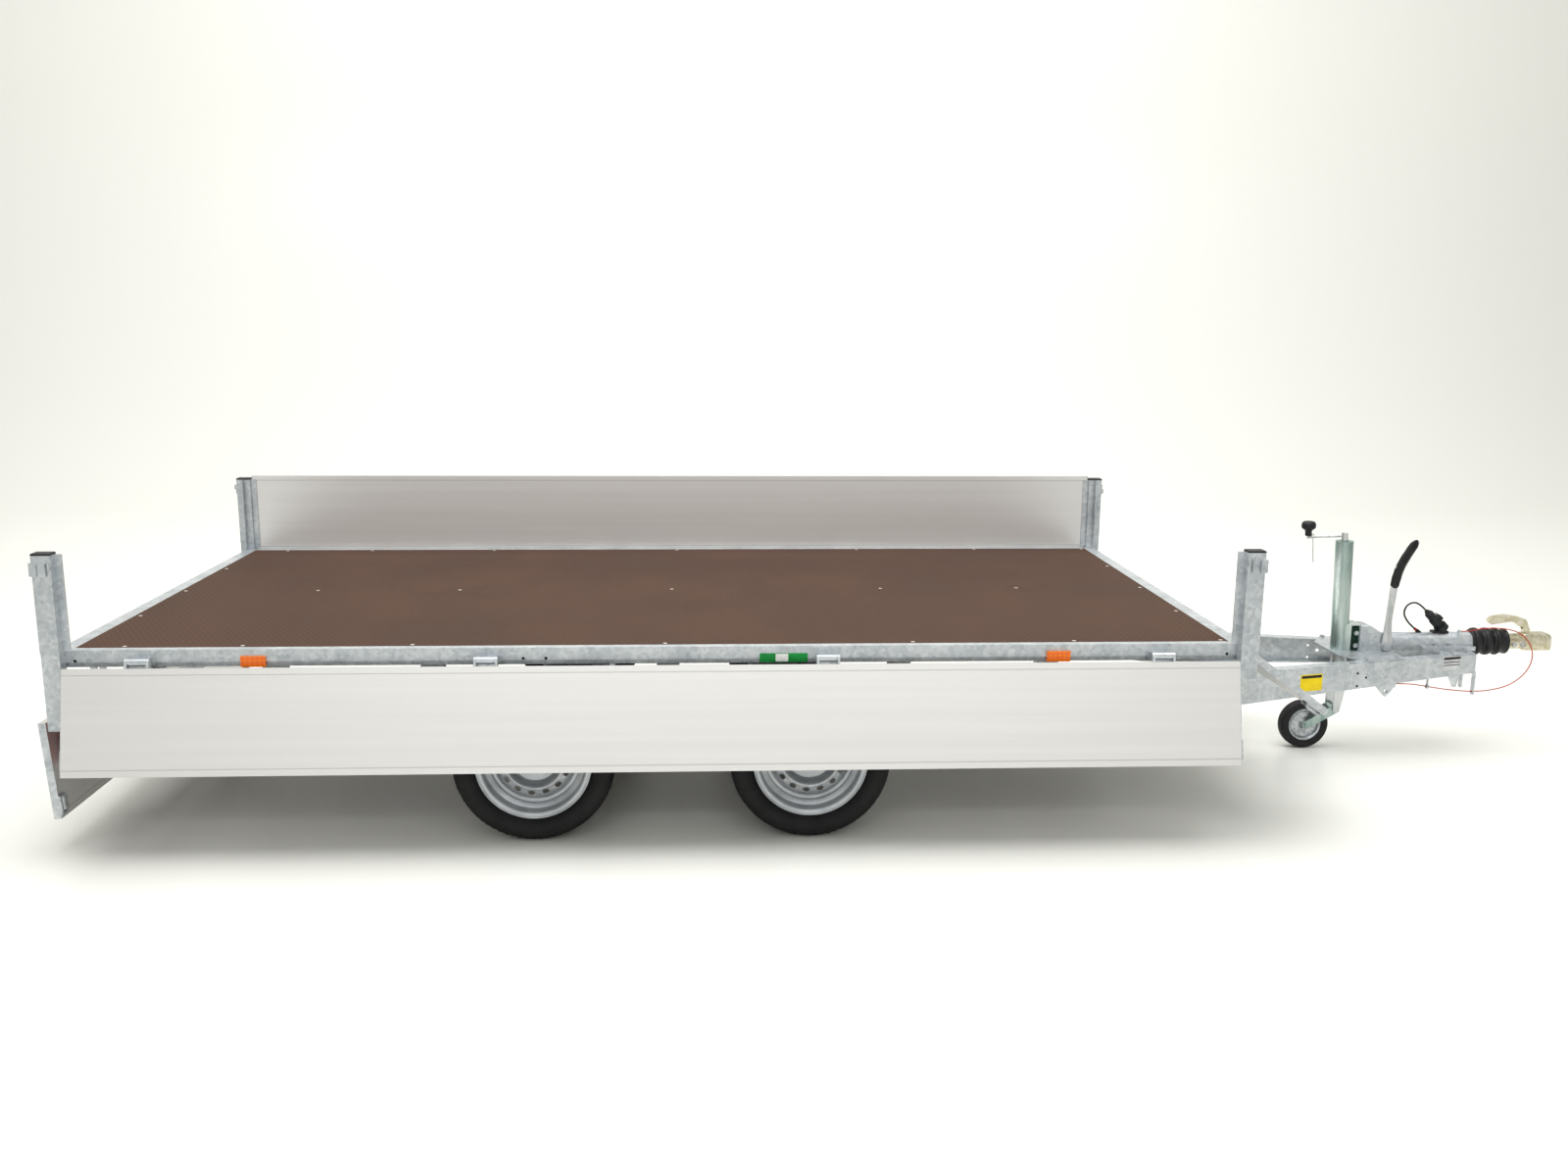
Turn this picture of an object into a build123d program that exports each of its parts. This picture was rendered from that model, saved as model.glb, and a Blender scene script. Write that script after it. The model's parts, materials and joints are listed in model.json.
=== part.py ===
"""Tandem-axle flatbed trailer with four drop-down boards, in millimetres.

The origin is the centre of the towing ball in the coupling's socket, +X points forward along
the trailer, +Y to its left and +Z up.  The right, front and rear boards hang folded down, the
left one stands up.
"""

from build123d import *
from math import atan2, cos, degrees, pi, radians, sin, sqrt, tan
import os

os.makedirs("parts", exist_ok=True)

# ---- platform ----
deck_length = 3825.0
deck_width = 1848.0
deck_thickness = 15.0
deck_top = 250.0
deck_front = -1693.0
rail_side = 32.0
rail_end = 48.0
rail_depth = 58.0
rail_face = 38.0
rail_step = 8.0
rail_wall = 4.0
rail_ledge = 40.0
rail_lower_flange = 26.0
screw_inset = 20.0
screw_radius = 3.0
screw_head_radius = 7.0
screw_head_height = 2.0
screw_clearance = 0.1
cross_offsets = (-1385.0, -834.0, 0.0, 834.0, 1385.0)
deck_screw_rows = (-443.0, 0.0, 469.0)
rear_screw_inset = 149.0
cross_width = 50.0
cross_wall = 3.0

# ---- corner posts ----
post_gap = 17.0
post_x = 60.0
post_y = 45.0
post_wall = 3.0
post_height = 318.0
post_seam = 0.5
cap_height = 7.0
cap_plug = 12.0
socket_inset = 1.0
socket_wall = 4.0
socket_rear_depth = 260.0
socket_front_depth = 114.0
tang_clearance = 0.6
tang_length = 90.0
stop_width = 24.0
stop_thickness = 4.0
stop_lift = 6.0
stop_gap = 0.5
peg_near = 1.0
peg_far = 4.0
peg_reach = 10.5
peg_height = 18.0

# ---- drop boards ----
board_thickness = 25.0
board_wall = 2.0
board_cell = 46.0
board_out = 61.0
board_cap = 2.0
side_board_height = 348.0
front_board_height = 335.0
rear_board_height = 330.0
board_post_gap = 3.5
pivot_out = 65.0
side_pivot_drop = 33.0
front_pivot_drop = 39.0
rear_pivot_out = 94.0
rear_pivot_drop = 119.5
edge_above_pivot = 20.0
rear_edge_above_pivot = 124.5
side_turn = 167.0
front_turn = 127.0
rear_turn = 184.0
hinge_pin_radius = 6.0
hinge_bore_clearance = 0.05
barrel_radius = 11.0
barrel_length = 60.0
ear_thickness = 8.0
ear_gap = 0.5
leaf_thickness = 3.0
leaf_height = 72.0
leaf_overlap = 7.0
side_hinges = (-1692.5, -581.5, 540.5, 1667.5)
front_hinges = (-640.0, 0.0, 640.0)
rear_hinges = (-560.0, 0.0, 560.0)

# ---- board latches ----
latch_below_edge = 50.0
latch_pin_inset = 25.0
latch_pin_radius = 3.0
latch_pin_out = 7.0
latch_bar_out = 11.5
latch_bar_reach = 13.0
latch_bar_radius = 4.5
latch_arm_half = 27.0
latch_arm_thickness = 6.0
latch_eye_radius = 6.3
latch_arm_width = 8.0
latch_block = 24.0
latch_pin_end = 3.0

# ---- chassis beams and drawbar ----
beam_top = -15.0
beam_depth = 80.0
beam_deep_low = -150.0
beam_deep_x = -1568.0
beam_taper_x = -2618.0
beam_front_low = -91.0
beam_front = -333.0
beam_rear = -5503.0
beam_out = 600.0
beam_front_out = 100.0
beam_bend_x = -2390.0
beam_flange = 50.0
beam_wall = 4.0
riser_length = 80.0
lamp_bar_size = 40.0
lamp_bar_half = 905.0
plate_thickness = 6.0
plate_inset = 6.0
plate_slant = 0.28
plate_spans = ((-918.0, -668.0), (-498.0, -338.0))
bolt_radius = 6.0
bolt_clearance = 0.2
bolt_head_radius = 10.5
bolt_head = 8.0
flange_bolt_xs = (-846.0, -700.0, -440.0, -370.0)
foot_bolt_xs = (-480.0, -418.0)

# ---- axles, swing arms and wheels ----
ground = -430.0
tyre_radius = 275.0
axle_front_x = -3115.0
axle_spread = 936.0
wheel_y = 860.0
tyre_half_width = 95.0
arm_length = 150.0
axle_tube = 72.0
axle_tube_half = 711.0
axle_bore = 26.0
stub_clearance = 0.05
stub_length = 80.0
arm_gap = 1.0
arm_thickness = 28.0
spindle_radius = 15.0
spindle_clearance = 0.05
vent_count = 15
vent_radius = 117.0
bolt_count = 5
bolt_circle = 56.0

# ---- overrun device and coupling ----
tube_axis = 17.0
housing_radius = 40.0
housing_bore = 25.05
housing_rear = -698.0
housing_front = -318.0
housing_foot_rear = -541.0
housing_foot_half = 62.0
housing_foot_top = 8.0
block_rear = -800.0
block_top = 97.0
block_half = 44.0
draw_tube_radius = 25.0
draw_tube_wall = 6.0
draw_tube_rear = -560.0
draw_tube_front = -86.0
draw_tube_room = 100.0
bellows_front = -168.0
bellows_radius = 57.0
bellows_neck = 42.0
bellows_folds = 3
bellows_gap = 4.0
coupling_half = 33.0
coupling_low = -16.0
coupling_top = 52.0
coupling_sleeve = 32.0
coupling_fit = 0.3
ball_socket_radius = 25.3
coupling_bolt_xs = (-140.0, -104.0)
coupling_bolt_z = 9.0
handle_pivot_x = -78.0
handle_pivot_z = 64.0
handle_pin = 5.0
handle_pin_clearance = 0.05
handle_lug_half = 9.0
handle_gap = 0.5
handle_plate = 5.0

# ---- jockey wheel ----
jockey_lean = 2.0
jockey_foot_x = -863.0
jockey_foot_z = -25.0
jockey_tube_radius = 35.0
jockey_tube_wall = 4.0
jockey_tube_length = 460.0
jockey_plate = 5.0
jockey_inner_clearance = 0.05
jockey_inner_wall = 4.0
jockey_inner_top = 280.0
jockey_inner_low = -62.0
jockey_nut = 16.0
jockey_screw_radius = 9.0
jockey_screw_low = 120.0
jockey_screw_clearance = 0.05
jockey_pivot_x = -870.0
jockey_pivot_z = -261.0
jockey_wheel_x = -990.0
jockey_wheel_radius = 100.0
jockey_wheel_half = 25.0
jockey_tread_inner = 66.0
jockey_axle_radius = 8.0
jockey_axle_clearance = 0.05
fork_inner = 28.0
fork_thickness = 5.0
foot_gap = 1.0
foot_thickness = 5.0
crank_reach = 152.0
crank_radius = 5.0
crank_lift = 20.0
knob_pin_radius = 5.0
knob_pin_clearance = 0.05
clamp_half = 36.0
clamp_bolt_x = -816.0
clamp_bolt_zs = (12.0, 64.0)

# ---- handbrake ----
lever_pivot_x = -692.0
lever_pivot_z = 12.0
lever_near = -49.0
lever_thickness = 8.0
lever_pin_radius = 8.0
lever_pin_clearance = 0.05
grip_wall = 5.0

# ---- lamps and markers ----
marker_xs = (-4981.0, -2326.0)
marker_length = 80.0
marker_height = 35.0
marker_drop = 22.0
marker_thickness = 8.0
lamp_inner = 560.0
lamp_depth = 50.0
lamp_height = 130.0
lamp_low = -150.0

# ---- cords and their holders ----
cable_radius = 3.5
breakaway_radius = 2.0
guide_hole = 5.0
plug_low = (-436.0, 0.0, 74.0)
plug_length = 103.24
plug_lean = 45.0
plug_radius = 21.0
plug_clearance = 0.3
cable_exit = (-509.0, 0.0, 147.0)
cable_points = [
    cable_exit,
    (-530.0, 0.0, 168.0),
    (-561.0, -1.0, 185.0),
    (-595.0, -3.0, 173.0),
    (-607.0, -4.0, 139.0),
    (-590.0, -3.0, 108.0),
    (-565.0, -1.0, 83.0),
    (-541.0, 0.0, 64.0),
]
breakaway_points = [
    (-372.0, -30.0, 66.0),
    (-334.0, -30.0, 66.0),
    (-290.0, -46.0, 82.0),
    (-243.0, -57.0, 86.0),
    (-196.0, -61.5, 83.0),
    (-150.0, -62.0, 71.0),
    (-108.0, -62.0, 44.0),
    (-80.0, -62.0, 2.0),
    (-71.0, -61.0, -42.0),
    (-83.0, -60.0, -88.0),
    (-118.0, -61.0, -129.0),
    (-166.0, -63.0, -158.0),
    (-222.0, -66.0, -172.0),
    (-280.0, -70.0, -178.0),
    (-337.0, -75.0, -177.0),
    (-392.0, -82.0, -171.0),
    (-447.0, -90.0, -163.0),
    (-501.0, -97.0, -153.0),
    (-556.0, -103.0, -142.0),
    (-614.0, -108.0, -133.0),
    (-672.0, -108.0, -133.0),
]

deck_rear = deck_front - deck_length
deck_mid = (deck_front + deck_rear) / 2
half_width = deck_width / 2
deck_low = deck_top - deck_thickness
rail_low = deck_top - rail_depth
wheel_z = ground + tyre_radius
tube_low = beam_top - beam_depth - axle_tube
tube_z = tube_low + axle_tube / 2
arm_drop = tube_z - wheel_z
arm_back = sqrt(arm_length**2 - arm_drop**2)
wheel_xs = {"front": axle_front_x, "rear": axle_front_x - axle_spread}
beam_angle = atan2(beam_out - beam_front_out, beam_front - beam_bend_x)


def block(x0, x1, y0, y1, z0, z1, mode=Mode.ADD):
    """One box between two corners."""
    with Locations(((x0 + x1) / 2, (y0 + y1) / 2, (z0 + z1) / 2)):
        Box(x1 - x0, y1 - y0, z1 - z0, mode=mode)


def rod(x, y, z, radius, length, along, mode=Mode.ADD):
    """One cylinder centred on a point, along x, y or z."""
    turn = {"x": (0, 90, 0), "y": (90, 0, 0), "z": (0, 0, 0)}[along]
    with Locations((x, y, z)):
        Cylinder(radius, length, rotation=turn, mode=mode)


def save(part, name):
    """Label a finished piece and write it."""
    part.label = name
    export_step(part, f"parts/{name}.step")


def bolt_z(x, y, top, low):
    """A hexagon bolt down through two plates, with its nut below."""
    grip = top - low
    rod(x, y, (top + low) / 2, bolt_radius, grip, "z")
    for z in (top, low - bolt_head):
        with BuildSketch(Plane.XY.offset(z)) as hexagon:
            with Locations((x, y)):
                RegularPolygon(bolt_head_radius, 6)
        extrude(hexagon.sketch, amount=bolt_head)


def bolt_y(x, z, half):
    """A hexagon bolt across the trailer, with its nut on the far side."""
    rod(x, 0, z, bolt_radius, 2 * half, "y")
    for y in (-half, half + bolt_head):
        with BuildSketch(Plane.XZ.offset(-y)) as hexagon:
            with Locations((x, z)):
                RegularPolygon(bolt_head_radius, 6)
        extrude(hexagon.sketch, amount=bolt_head)


def beam_out_at(x):
    """The outer face of a chassis beam, from the centre line."""
    return beam_out - max(0.0, x - beam_bend_x) * tan(beam_angle)


def beam_low_at(x):
    """The lower edge of a chassis beam along its rising front stretch."""
    rise = (beam_front_low - beam_deep_low) / (beam_front - beam_deep_x)
    return beam_front_low - rise * (beam_front - x)


# ================= platform =================

cross_xs = [deck_mid + offset for offset in cross_offsets]
side_row = half_width - screw_inset
side_xs = [deck_rear + rear_screw_inset, *cross_xs, deck_front - screw_inset]
screw_points = [(x, y) for x in side_xs for y in (-side_row, side_row)]
screw_points += [(x, 0.0) for x in cross_xs]
end_xs = (deck_rear + screw_inset, deck_front - screw_inset)
screw_points += [(x, y) for x in end_xs for y in deck_screw_rows]

with BuildPart() as deck_panel:
    block(deck_rear, deck_front, -half_width, half_width, deck_low, deck_top)
    for x, y in screw_points:
        rod(x, y, deck_top, screw_radius + screw_clearance, 3 * deck_thickness, "z", Mode.SUBTRACT)
        recess = screw_head_radius + screw_clearance
        rod(x, y, deck_top, recess, 2 * screw_head_height, "z", Mode.SUBTRACT)
save(deck_panel.part, "deck_panel")

with BuildPart() as deck_screws:
    for x, y in screw_points:
        rod(x, y, deck_top - screw_head_height / 2, screw_head_radius, screw_head_height, "z")
        rod(x, y, deck_top - deck_thickness / 2, screw_radius, deck_thickness, "z")
save(deck_screws.part, "deck_screws")


def rail_outer(out):
    """The rail section's outer bars, as (low y, high y, low z, high z)."""
    return [
        (0, out, -rail_wall, 0),
        (out - rail_wall, out, -rail_face, 0),
        (out - rail_step - rail_wall, out, -rail_face - rail_wall, -rail_face),
        (out - rail_step - rail_wall, out - rail_step, -rail_depth, -rail_face),
    ]


def rail_inner(out):
    """The bars that carry the deck and stiffen the foot."""
    return [
        (-rail_lower_flange, out - rail_step, -rail_depth, -rail_depth + rail_wall),
        (0, rail_wall, -deck_thickness - rail_wall, 0),
        (-rail_ledge, rail_wall, -deck_thickness - rail_wall, -deck_thickness),
    ]


with BuildPart() as side_rail:
    for low, high, z0, z1 in rail_outer(rail_side):
        x0, x1 = deck_rear - rail_end, deck_front + rail_end
        block(x0, x1, half_width + low, half_width + high, deck_top + z0, deck_top + z1)
    for low, high, z0, z1 in rail_inner(rail_side):
        block(deck_rear, deck_front, half_width + low, half_width + high, deck_top + z0, deck_top + z1)

with BuildPart() as end_rail:
    for low, high, z0, z1 in rail_outer(rail_end):
        block(deck_front + low, deck_front + high, -half_width, half_width, deck_top + z0, deck_top + z1)
    inner_half = half_width - rail_ledge
    for low, high, z0, z1 in rail_inner(rail_end):
        block(deck_front + low, deck_front + high, -inner_half, inner_half, deck_top + z0, deck_top + z1)

socket_x = post_x - 2 * socket_inset
socket_y = post_y - 2 * socket_inset


def socket(x_side, y_side):
    """One open socket under a corner post, welded outside the side rail."""
    edge = deck_front if x_side > 0 else deck_rear
    depth = socket_front_depth if x_side > 0 else socket_rear_depth
    x = edge + x_side * (post_gap + post_x / 2)
    y = y_side * (half_width + rail_side + socket_y / 2)
    with BuildPart() as body:
        with Locations((x, y, deck_top - depth / 2)):
            Box(socket_x, socket_y, depth)
            Box(socket_x - 2 * socket_wall, socket_y - 2 * socket_wall, depth, mode=Mode.SUBTRACT)
    return body.part


corners = [(x_side, y_side) for x_side in (-1, 1) for y_side in (-1, 1)]
sockets = [socket(x_side, y_side) for x_side, y_side in corners]
end_rail_rear = mirror(end_rail.part, about=Plane.YZ.offset(deck_mid))
side_rail_right = mirror(side_rail.part, about=Plane.XZ)
deck_frame = [side_rail.part, side_rail_right, end_rail.part, end_rail_rear, *sockets]

with BuildPart() as deck_frame_rails:
    add(deck_frame)
save(deck_frame_rails.part, "deck_frame_rails")

with BuildPart() as platform_underframe:
    cross_half = half_width - rail_ledge
    for x in cross_xs:
        for wall, mode in ((0, Mode.ADD), (cross_wall, Mode.SUBTRACT)):
            x0, x1 = x - cross_width / 2 + wall, x + cross_width / 2 - wall
            block(x0, x1, -cross_half, cross_half, rail_low + wall, deck_low - wall, mode)
    for x in cross_xs:
        for side in (-1, 1):
            y = side * (beam_out_at(x) - beam_flange / 2)
            for wall, mode in ((0, Mode.ADD), (beam_wall, Mode.SUBTRACT)):
                x0, x1 = x - riser_length / 2 + wall, x + riser_length / 2 - wall
                half = beam_flange / 2 - wall
                block(x0, x1, y - half, y + half, beam_top, rail_low, mode)
    bar_low = beam_top - beam_depth
    for wall, mode in ((0, Mode.ADD), (cross_wall, Mode.SUBTRACT)):
        x0, x1 = beam_rear - lamp_bar_size + wall, beam_rear - wall
        z0, z1 = bar_low + wall, bar_low + lamp_bar_size - wall
        block(x0, x1, -lamp_bar_half, lamp_bar_half, z0, z1, mode)
save(platform_underframe.part, "platform_underframe")


# ================= corner posts =================

socket_bore_x = socket_x - 2 * socket_wall
socket_bore_y = socket_y - 2 * socket_wall
post_low = deck_top + post_seam
post_top = deck_top + post_height
latch_z = {
    "side": deck_top - side_pivot_drop + edge_above_pivot + side_board_height - latch_below_edge,
    "rear": deck_top - rear_pivot_drop + rear_edge_above_pivot + rear_board_height - latch_below_edge,
    "front": deck_top - front_pivot_drop + edge_above_pivot + front_board_height - latch_below_edge,
}
stop_out = board_out - board_thickness / 2 - stop_gap
tang_y = half_width + rail_side + socket_y / 2


def corner_post(end, x_side, y_side):
    """A removable stake: box tube, tang, two board stops and two latch pegs."""
    edge = deck_front if x_side > 0 else deck_rear
    with BuildPart() as body:
        x0, x1 = post_gap, post_gap + post_x
        y0, y1 = half_width + rail_side, half_width + rail_side + post_y
        block(x0, x1, y0, y1, post_low, post_top)
        xs, ys = (x0 + post_wall, x1 - post_wall), (y0 + post_wall, y1 - post_wall)
        block(*xs, *ys, post_low + 2 * post_wall, post_top, Mode.SUBTRACT)
        tang_x = post_gap + post_x / 2
        half_x = socket_bore_x / 2 - tang_clearance
        half_y = socket_bore_y / 2 - tang_clearance
        xs, ys = (tang_x - half_x, tang_x + half_x), (tang_y - half_y, tang_y + half_y)
        block(*xs, *ys, deck_top - tang_length, post_low)
        stop_low = deck_top + stop_lift
        y_stop = half_width + stop_out
        block(x0 - stop_width, x0, y_stop - stop_thickness, y_stop, stop_low, post_top)
        block(stop_out - stop_thickness, stop_out, y0 - stop_width, y0, stop_low, post_top)
        z0, z1 = latch_z["side"] - peg_height / 2, latch_z["side"] + peg_height / 2
        block(x0 + peg_near, x0 + peg_far, y1, y1 + peg_reach, z0, z1)
        z0, z1 = latch_z[end] - peg_height / 2, latch_z[end] + peg_height / 2
        block(x1, x1 + peg_reach, y0 + peg_near, y0 + peg_far, z0, z1)
    part = body.part
    if x_side < 0:
        part = mirror(part, about=Plane.YZ)
    if y_side < 0:
        part = mirror(part, about=Plane.XZ)
    return part.moved(Location((edge, 0, 0)))


def post_cap(x_side, y_side):
    """A moulded cap that plugs into a post's open top."""
    edge = deck_front if x_side > 0 else deck_rear
    x = edge + x_side * (post_gap + post_x / 2)
    y = y_side * (half_width + rail_side + post_y / 2)
    with BuildPart() as body:
        with Locations((x, y, post_top + cap_height / 2)):
            Box(post_x, post_y, cap_height)
        chamfer(body.faces().sort_by(Axis.Z)[-1].edges(), 2.5)
        with Locations((x, y, post_top - cap_plug / 2)):
            Box(post_x - 2 * post_wall - 1, post_y - 2 * post_wall - 1, cap_plug)
    return body.part


ends = {-1: "rear", 1: "front"}
posts = [corner_post(ends[x_side], x_side, y_side) for x_side, y_side in corners]
caps = [post_cap(x_side, y_side) for x_side, y_side in corners]
with BuildPart() as corner_posts:
    add(posts)
save(corner_posts.part, "corner_posts")

with BuildPart() as post_caps:
    add(caps)
save(post_caps.part, "post_caps")


# ================= drop boards =================

side_length = deck_length + 2 * (post_gap - board_post_gap)
end_length = deck_width + 2 * (rail_side - board_post_gap)


def board_plane(origin, outward, turn):
    """Local x runs along the hinge, y is the outer face's normal and z goes up the board."""
    up = Vector(0, 0, 1)
    out = Vector(*outward)
    rise = up * cos(radians(turn)) + out * sin(radians(turn))
    return Plane(origin=origin, x_dir=out.cross(up), z_dir=rise)


side_z = deck_top - side_pivot_drop
front_z = deck_top - front_pivot_drop
rear_z = deck_top - rear_pivot_drop
boards = {
    "right": {
        "plane": board_plane((deck_mid, -half_width - pivot_out, side_z), (0, -1, 0), side_turn),
        "length": side_length,
        "height": side_board_height,
        "edge": edge_above_pivot,
        "centre": board_out - pivot_out,
        "rail": rail_side,
        "pivot": pivot_out,
        "hinges": [-x for x in side_hinges],
    },
    "left": {
        "plane": board_plane((deck_mid, half_width + pivot_out, side_z), (0, 1, 0), 0),
        "length": side_length,
        "height": side_board_height,
        "edge": edge_above_pivot,
        "centre": board_out - pivot_out,
        "rail": rail_side,
        "pivot": pivot_out,
        "hinges": side_hinges,
    },
    "front": {
        "plane": board_plane((deck_front + pivot_out, 0, front_z), (1, 0, 0), front_turn),
        "length": end_length,
        "height": front_board_height,
        "edge": edge_above_pivot,
        "centre": board_out - pivot_out,
        "rail": rail_end,
        "pivot": pivot_out,
        "hinges": front_hinges,
    },
    "rear": {
        "plane": board_plane((deck_rear - rear_pivot_out, 0, rear_z), (-1, 0, 0), rear_turn),
        "length": end_length,
        "height": rear_board_height,
        "edge": rear_edge_above_pivot,
        "centre": board_out - rear_pivot_out,
        "rail": rail_end,
        "pivot": rear_pivot_out,
        "hinges": rear_hinges,
    },
}


def board_panel(spec):
    """A hollow aluminium profile with cross webs, open at both ends for the caps."""
    half = spec["length"] / 2 - board_cap
    low, high = spec["edge"], spec["edge"] + spec["height"]
    y0, y1 = spec["centre"] - board_thickness / 2, spec["centre"] + board_thickness / 2
    cells = round((spec["height"] - board_wall) / board_cell)
    pitch = (spec["height"] - board_wall) / cells
    with BuildPart() as body:
        block(-half, half, y0, y1, low, high)
        for index in range(cells):
            z0 = low + board_wall + index * pitch
            z1 = z0 + pitch - board_wall
            block(-half, half, y0 + board_wall, y1 - board_wall, z0, z1, Mode.SUBTRACT)
    return body.part


def board_fittings(spec):
    """End caps, hinge ears with their pins, hinge leaves and latch brackets of one board."""
    half = spec["length"] / 2
    low, high = spec["edge"], spec["edge"] + spec["height"]
    y0, y1 = spec["centre"] - board_thickness / 2, spec["centre"] + board_thickness / 2
    ear_in = barrel_length / 2 + ear_gap
    ear_out = ear_in + ear_thickness
    leaf_out = y1 + leaf_thickness
    leaf_top = low + leaf_height
    latch_level = high - latch_below_edge
    pin_length = 2 * (latch_arm_half + latch_arm_thickness + latch_pin_end)
    arm = [(-12, 0), (12, 0), (4, low), (leaf_out + 6, leaf_top), (leaf_out, leaf_top)]
    arm += [(leaf_out, low - 6), (-14, 0.6 * low)]
    with BuildPart() as body:
        for side in (-1, 1):
            x0, x1 = sorted((side * half, side * (half - board_cap)))
            block(x0, x1, y0, y1, low, high)
            pin_x = side * (half - latch_pin_inset)
            z0, z1 = latch_level - latch_block, latch_level + latch_block
            block(pin_x - latch_block / 2, pin_x + latch_block / 2, y1, y1 + latch_pin_out + 5, z0, z1)
            rod(pin_x, y1 + latch_pin_out, latch_level, latch_pin_radius, pin_length, "z")
        for x in spec["hinges"]:
            rod(x, 0, 0, hinge_pin_radius, 2 * ear_out, "x")
            block(x - ear_out, x + ear_out, y1, leaf_out, low - leaf_overlap, leaf_top)
            for x0 in (x + ear_in, x - ear_out):
                rod(x0 + ear_thickness / 2, 0, 0, barrel_radius, ear_thickness, "x")
                if low == edge_above_pivot:
                    block(x0, x0 + ear_thickness, -barrel_radius, leaf_out, 0, low - ear_gap)
                else:
                    with BuildSketch(Plane.YZ.offset(x0)):
                        Polygon(*arm, align=None)
                    extrude(amount=ear_thickness)
    return body.part


def board_latch(spec, side):
    """A loop that swings on its pin and drops over the post's peg."""
    half = spec["length"] / 2
    y1 = spec["centre"] + board_thickness / 2
    z = spec["edge"] + spec["height"] - latch_below_edge
    pin = (side * (half - latch_pin_inset), y1 + latch_pin_out)
    bar = (side * (half + latch_bar_reach), y1 + latch_bar_out)
    run = (bar[0] - pin[0], bar[1] - pin[1])
    angle = degrees(atan2(run[1], run[0]))
    arm_z = latch_arm_half + latch_arm_thickness / 2
    bar_length = 2 * (latch_arm_half + latch_arm_thickness)
    with BuildPart() as body:
        for level in (z - arm_z, z + arm_z):
            rod(*pin, level, latch_eye_radius, latch_arm_thickness, "z")
            with Locations(((pin[0] + bar[0]) / 2, (pin[1] + bar[1]) / 2, level)):
                arm_length = sqrt(run[0] ** 2 + run[1] ** 2)
                Box(arm_length, latch_arm_width, latch_arm_thickness, rotation=(0, 0, angle))
        rod(*bar, z, latch_bar_radius, bar_length, "z")
        bore = latch_pin_radius + hinge_bore_clearance
        rod(*pin, z, bore, 2 * bar_length, "z", Mode.SUBTRACT)
    return body.part


def hinge_bracket(spec, x):
    """A barrel on a web and a base plate, welded to the rail, upright over the board's pivot."""
    base = spec["rail"] - spec["pivot"]
    half = barrel_length / 2
    with BuildPart() as body:
        if spec["pivot"] == pivot_out:
            block(x - half - 14, x + half + 14, base, base + rail_wall, -18, 12)
            block(x - half, x + half, base, 0, -5, 5)
        else:
            top, low = rear_pivot_drop - 6, rear_pivot_drop - rail_face + 2
            block(x - half, x + half, base, base + rail_wall, low, top)
            with BuildSketch(Plane.YZ.offset(x - 6)):
                Polygon((base + rail_wall, top), (base, top), (base, low), (-10, 4), (8, 8), align=None)
            extrude(amount=12)
        rod(x, 0, 0, barrel_radius, barrel_length, "x")
        bore = hinge_pin_radius + hinge_bore_clearance
        rod(x, 0, 0, bore, barrel_length + 2, "x", Mode.SUBTRACT)
    upright = Plane(origin=spec["plane"].origin, x_dir=spec["plane"].x_dir, z_dir=(0, 0, 1))
    return body.part.moved(upright.location)


for name, spec in boards.items():
    place = spec["plane"].location
    save(board_panel(spec).moved(place), f"{name}_board_panel")
    save(board_fittings(spec).moved(place), f"{name}_board_fittings")
    for tag, side in (("a", -1), ("b", 1)):
        save(board_latch(spec, side).moved(place), f"{name}_board_latch_{tag}")

brackets = [hinge_bracket(spec, x) for spec in boards.values() for x in spec["hinges"]]
with BuildPart() as hinge_brackets:
    add(brackets)
save(hinge_brackets.part, "hinge_brackets")


# ================= chassis beams =================

beam_side = [
    (beam_rear, beam_top),
    (beam_front, beam_top),
    (beam_front, beam_front_low),
    (beam_deep_x, beam_deep_low),
    (beam_taper_x, beam_top - beam_depth),
    (beam_rear, beam_top - beam_depth),
]
beam_foot = [(x, z + beam_wall) for x, z in beam_side[2:]]


def beam_line(inset):
    """The beam's plan line, moved inwards by an inset."""
    bend = beam_bend_x - inset * tan(beam_angle / 2)
    front = beam_front_out - inset / cos(beam_angle)
    return [(beam_rear, beam_out - inset), (bend, beam_out - inset), (beam_front, front)]


def beam_piece(inset, outline):
    """A plan strip from the outer face inwards, trimmed to a side outline."""
    with BuildPart() as piece:
        with BuildSketch(Plane.XY.offset(beam_deep_low - 10)):
            Polygon(*beam_line(0), *reversed(beam_line(inset)), align=None)
        extrude(amount=beam_top - beam_deep_low + 20)
        with BuildSketch(Plane.XZ):
            Polygon(*outline, align=None)
        extrude(amount=beam_out + 100, both=True, mode=Mode.INTERSECT)
    return piece.part


web = beam_piece(beam_wall, beam_side)
top_strip = [(beam_rear, beam_top), (beam_front, beam_top)]
top_strip += [(beam_front, beam_top - beam_wall), (beam_rear, beam_top - beam_wall)]
top_flange = beam_piece(beam_flange, top_strip)
foot_flange = beam_piece(beam_flange, beam_side[2:] + list(reversed(beam_foot)))
beam_holes = [(-890.0, -54.0, 5.0), (-852.0, -73.0, 7.0), (-889.0, -106.0, 5.0)]
flange_bolts = []
for x in flange_bolt_xs:
    y = beam_out_at(x) - beam_flange / 2
    flange_bolts += [(x, -y), (x, y)]
foot_bolts = [(x, side * 51.0) for x in foot_bolt_xs for side in (-1, 1)]
hole_radius = bolt_radius + bolt_clearance
plate_top = beam_top + plate_thickness

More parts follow.
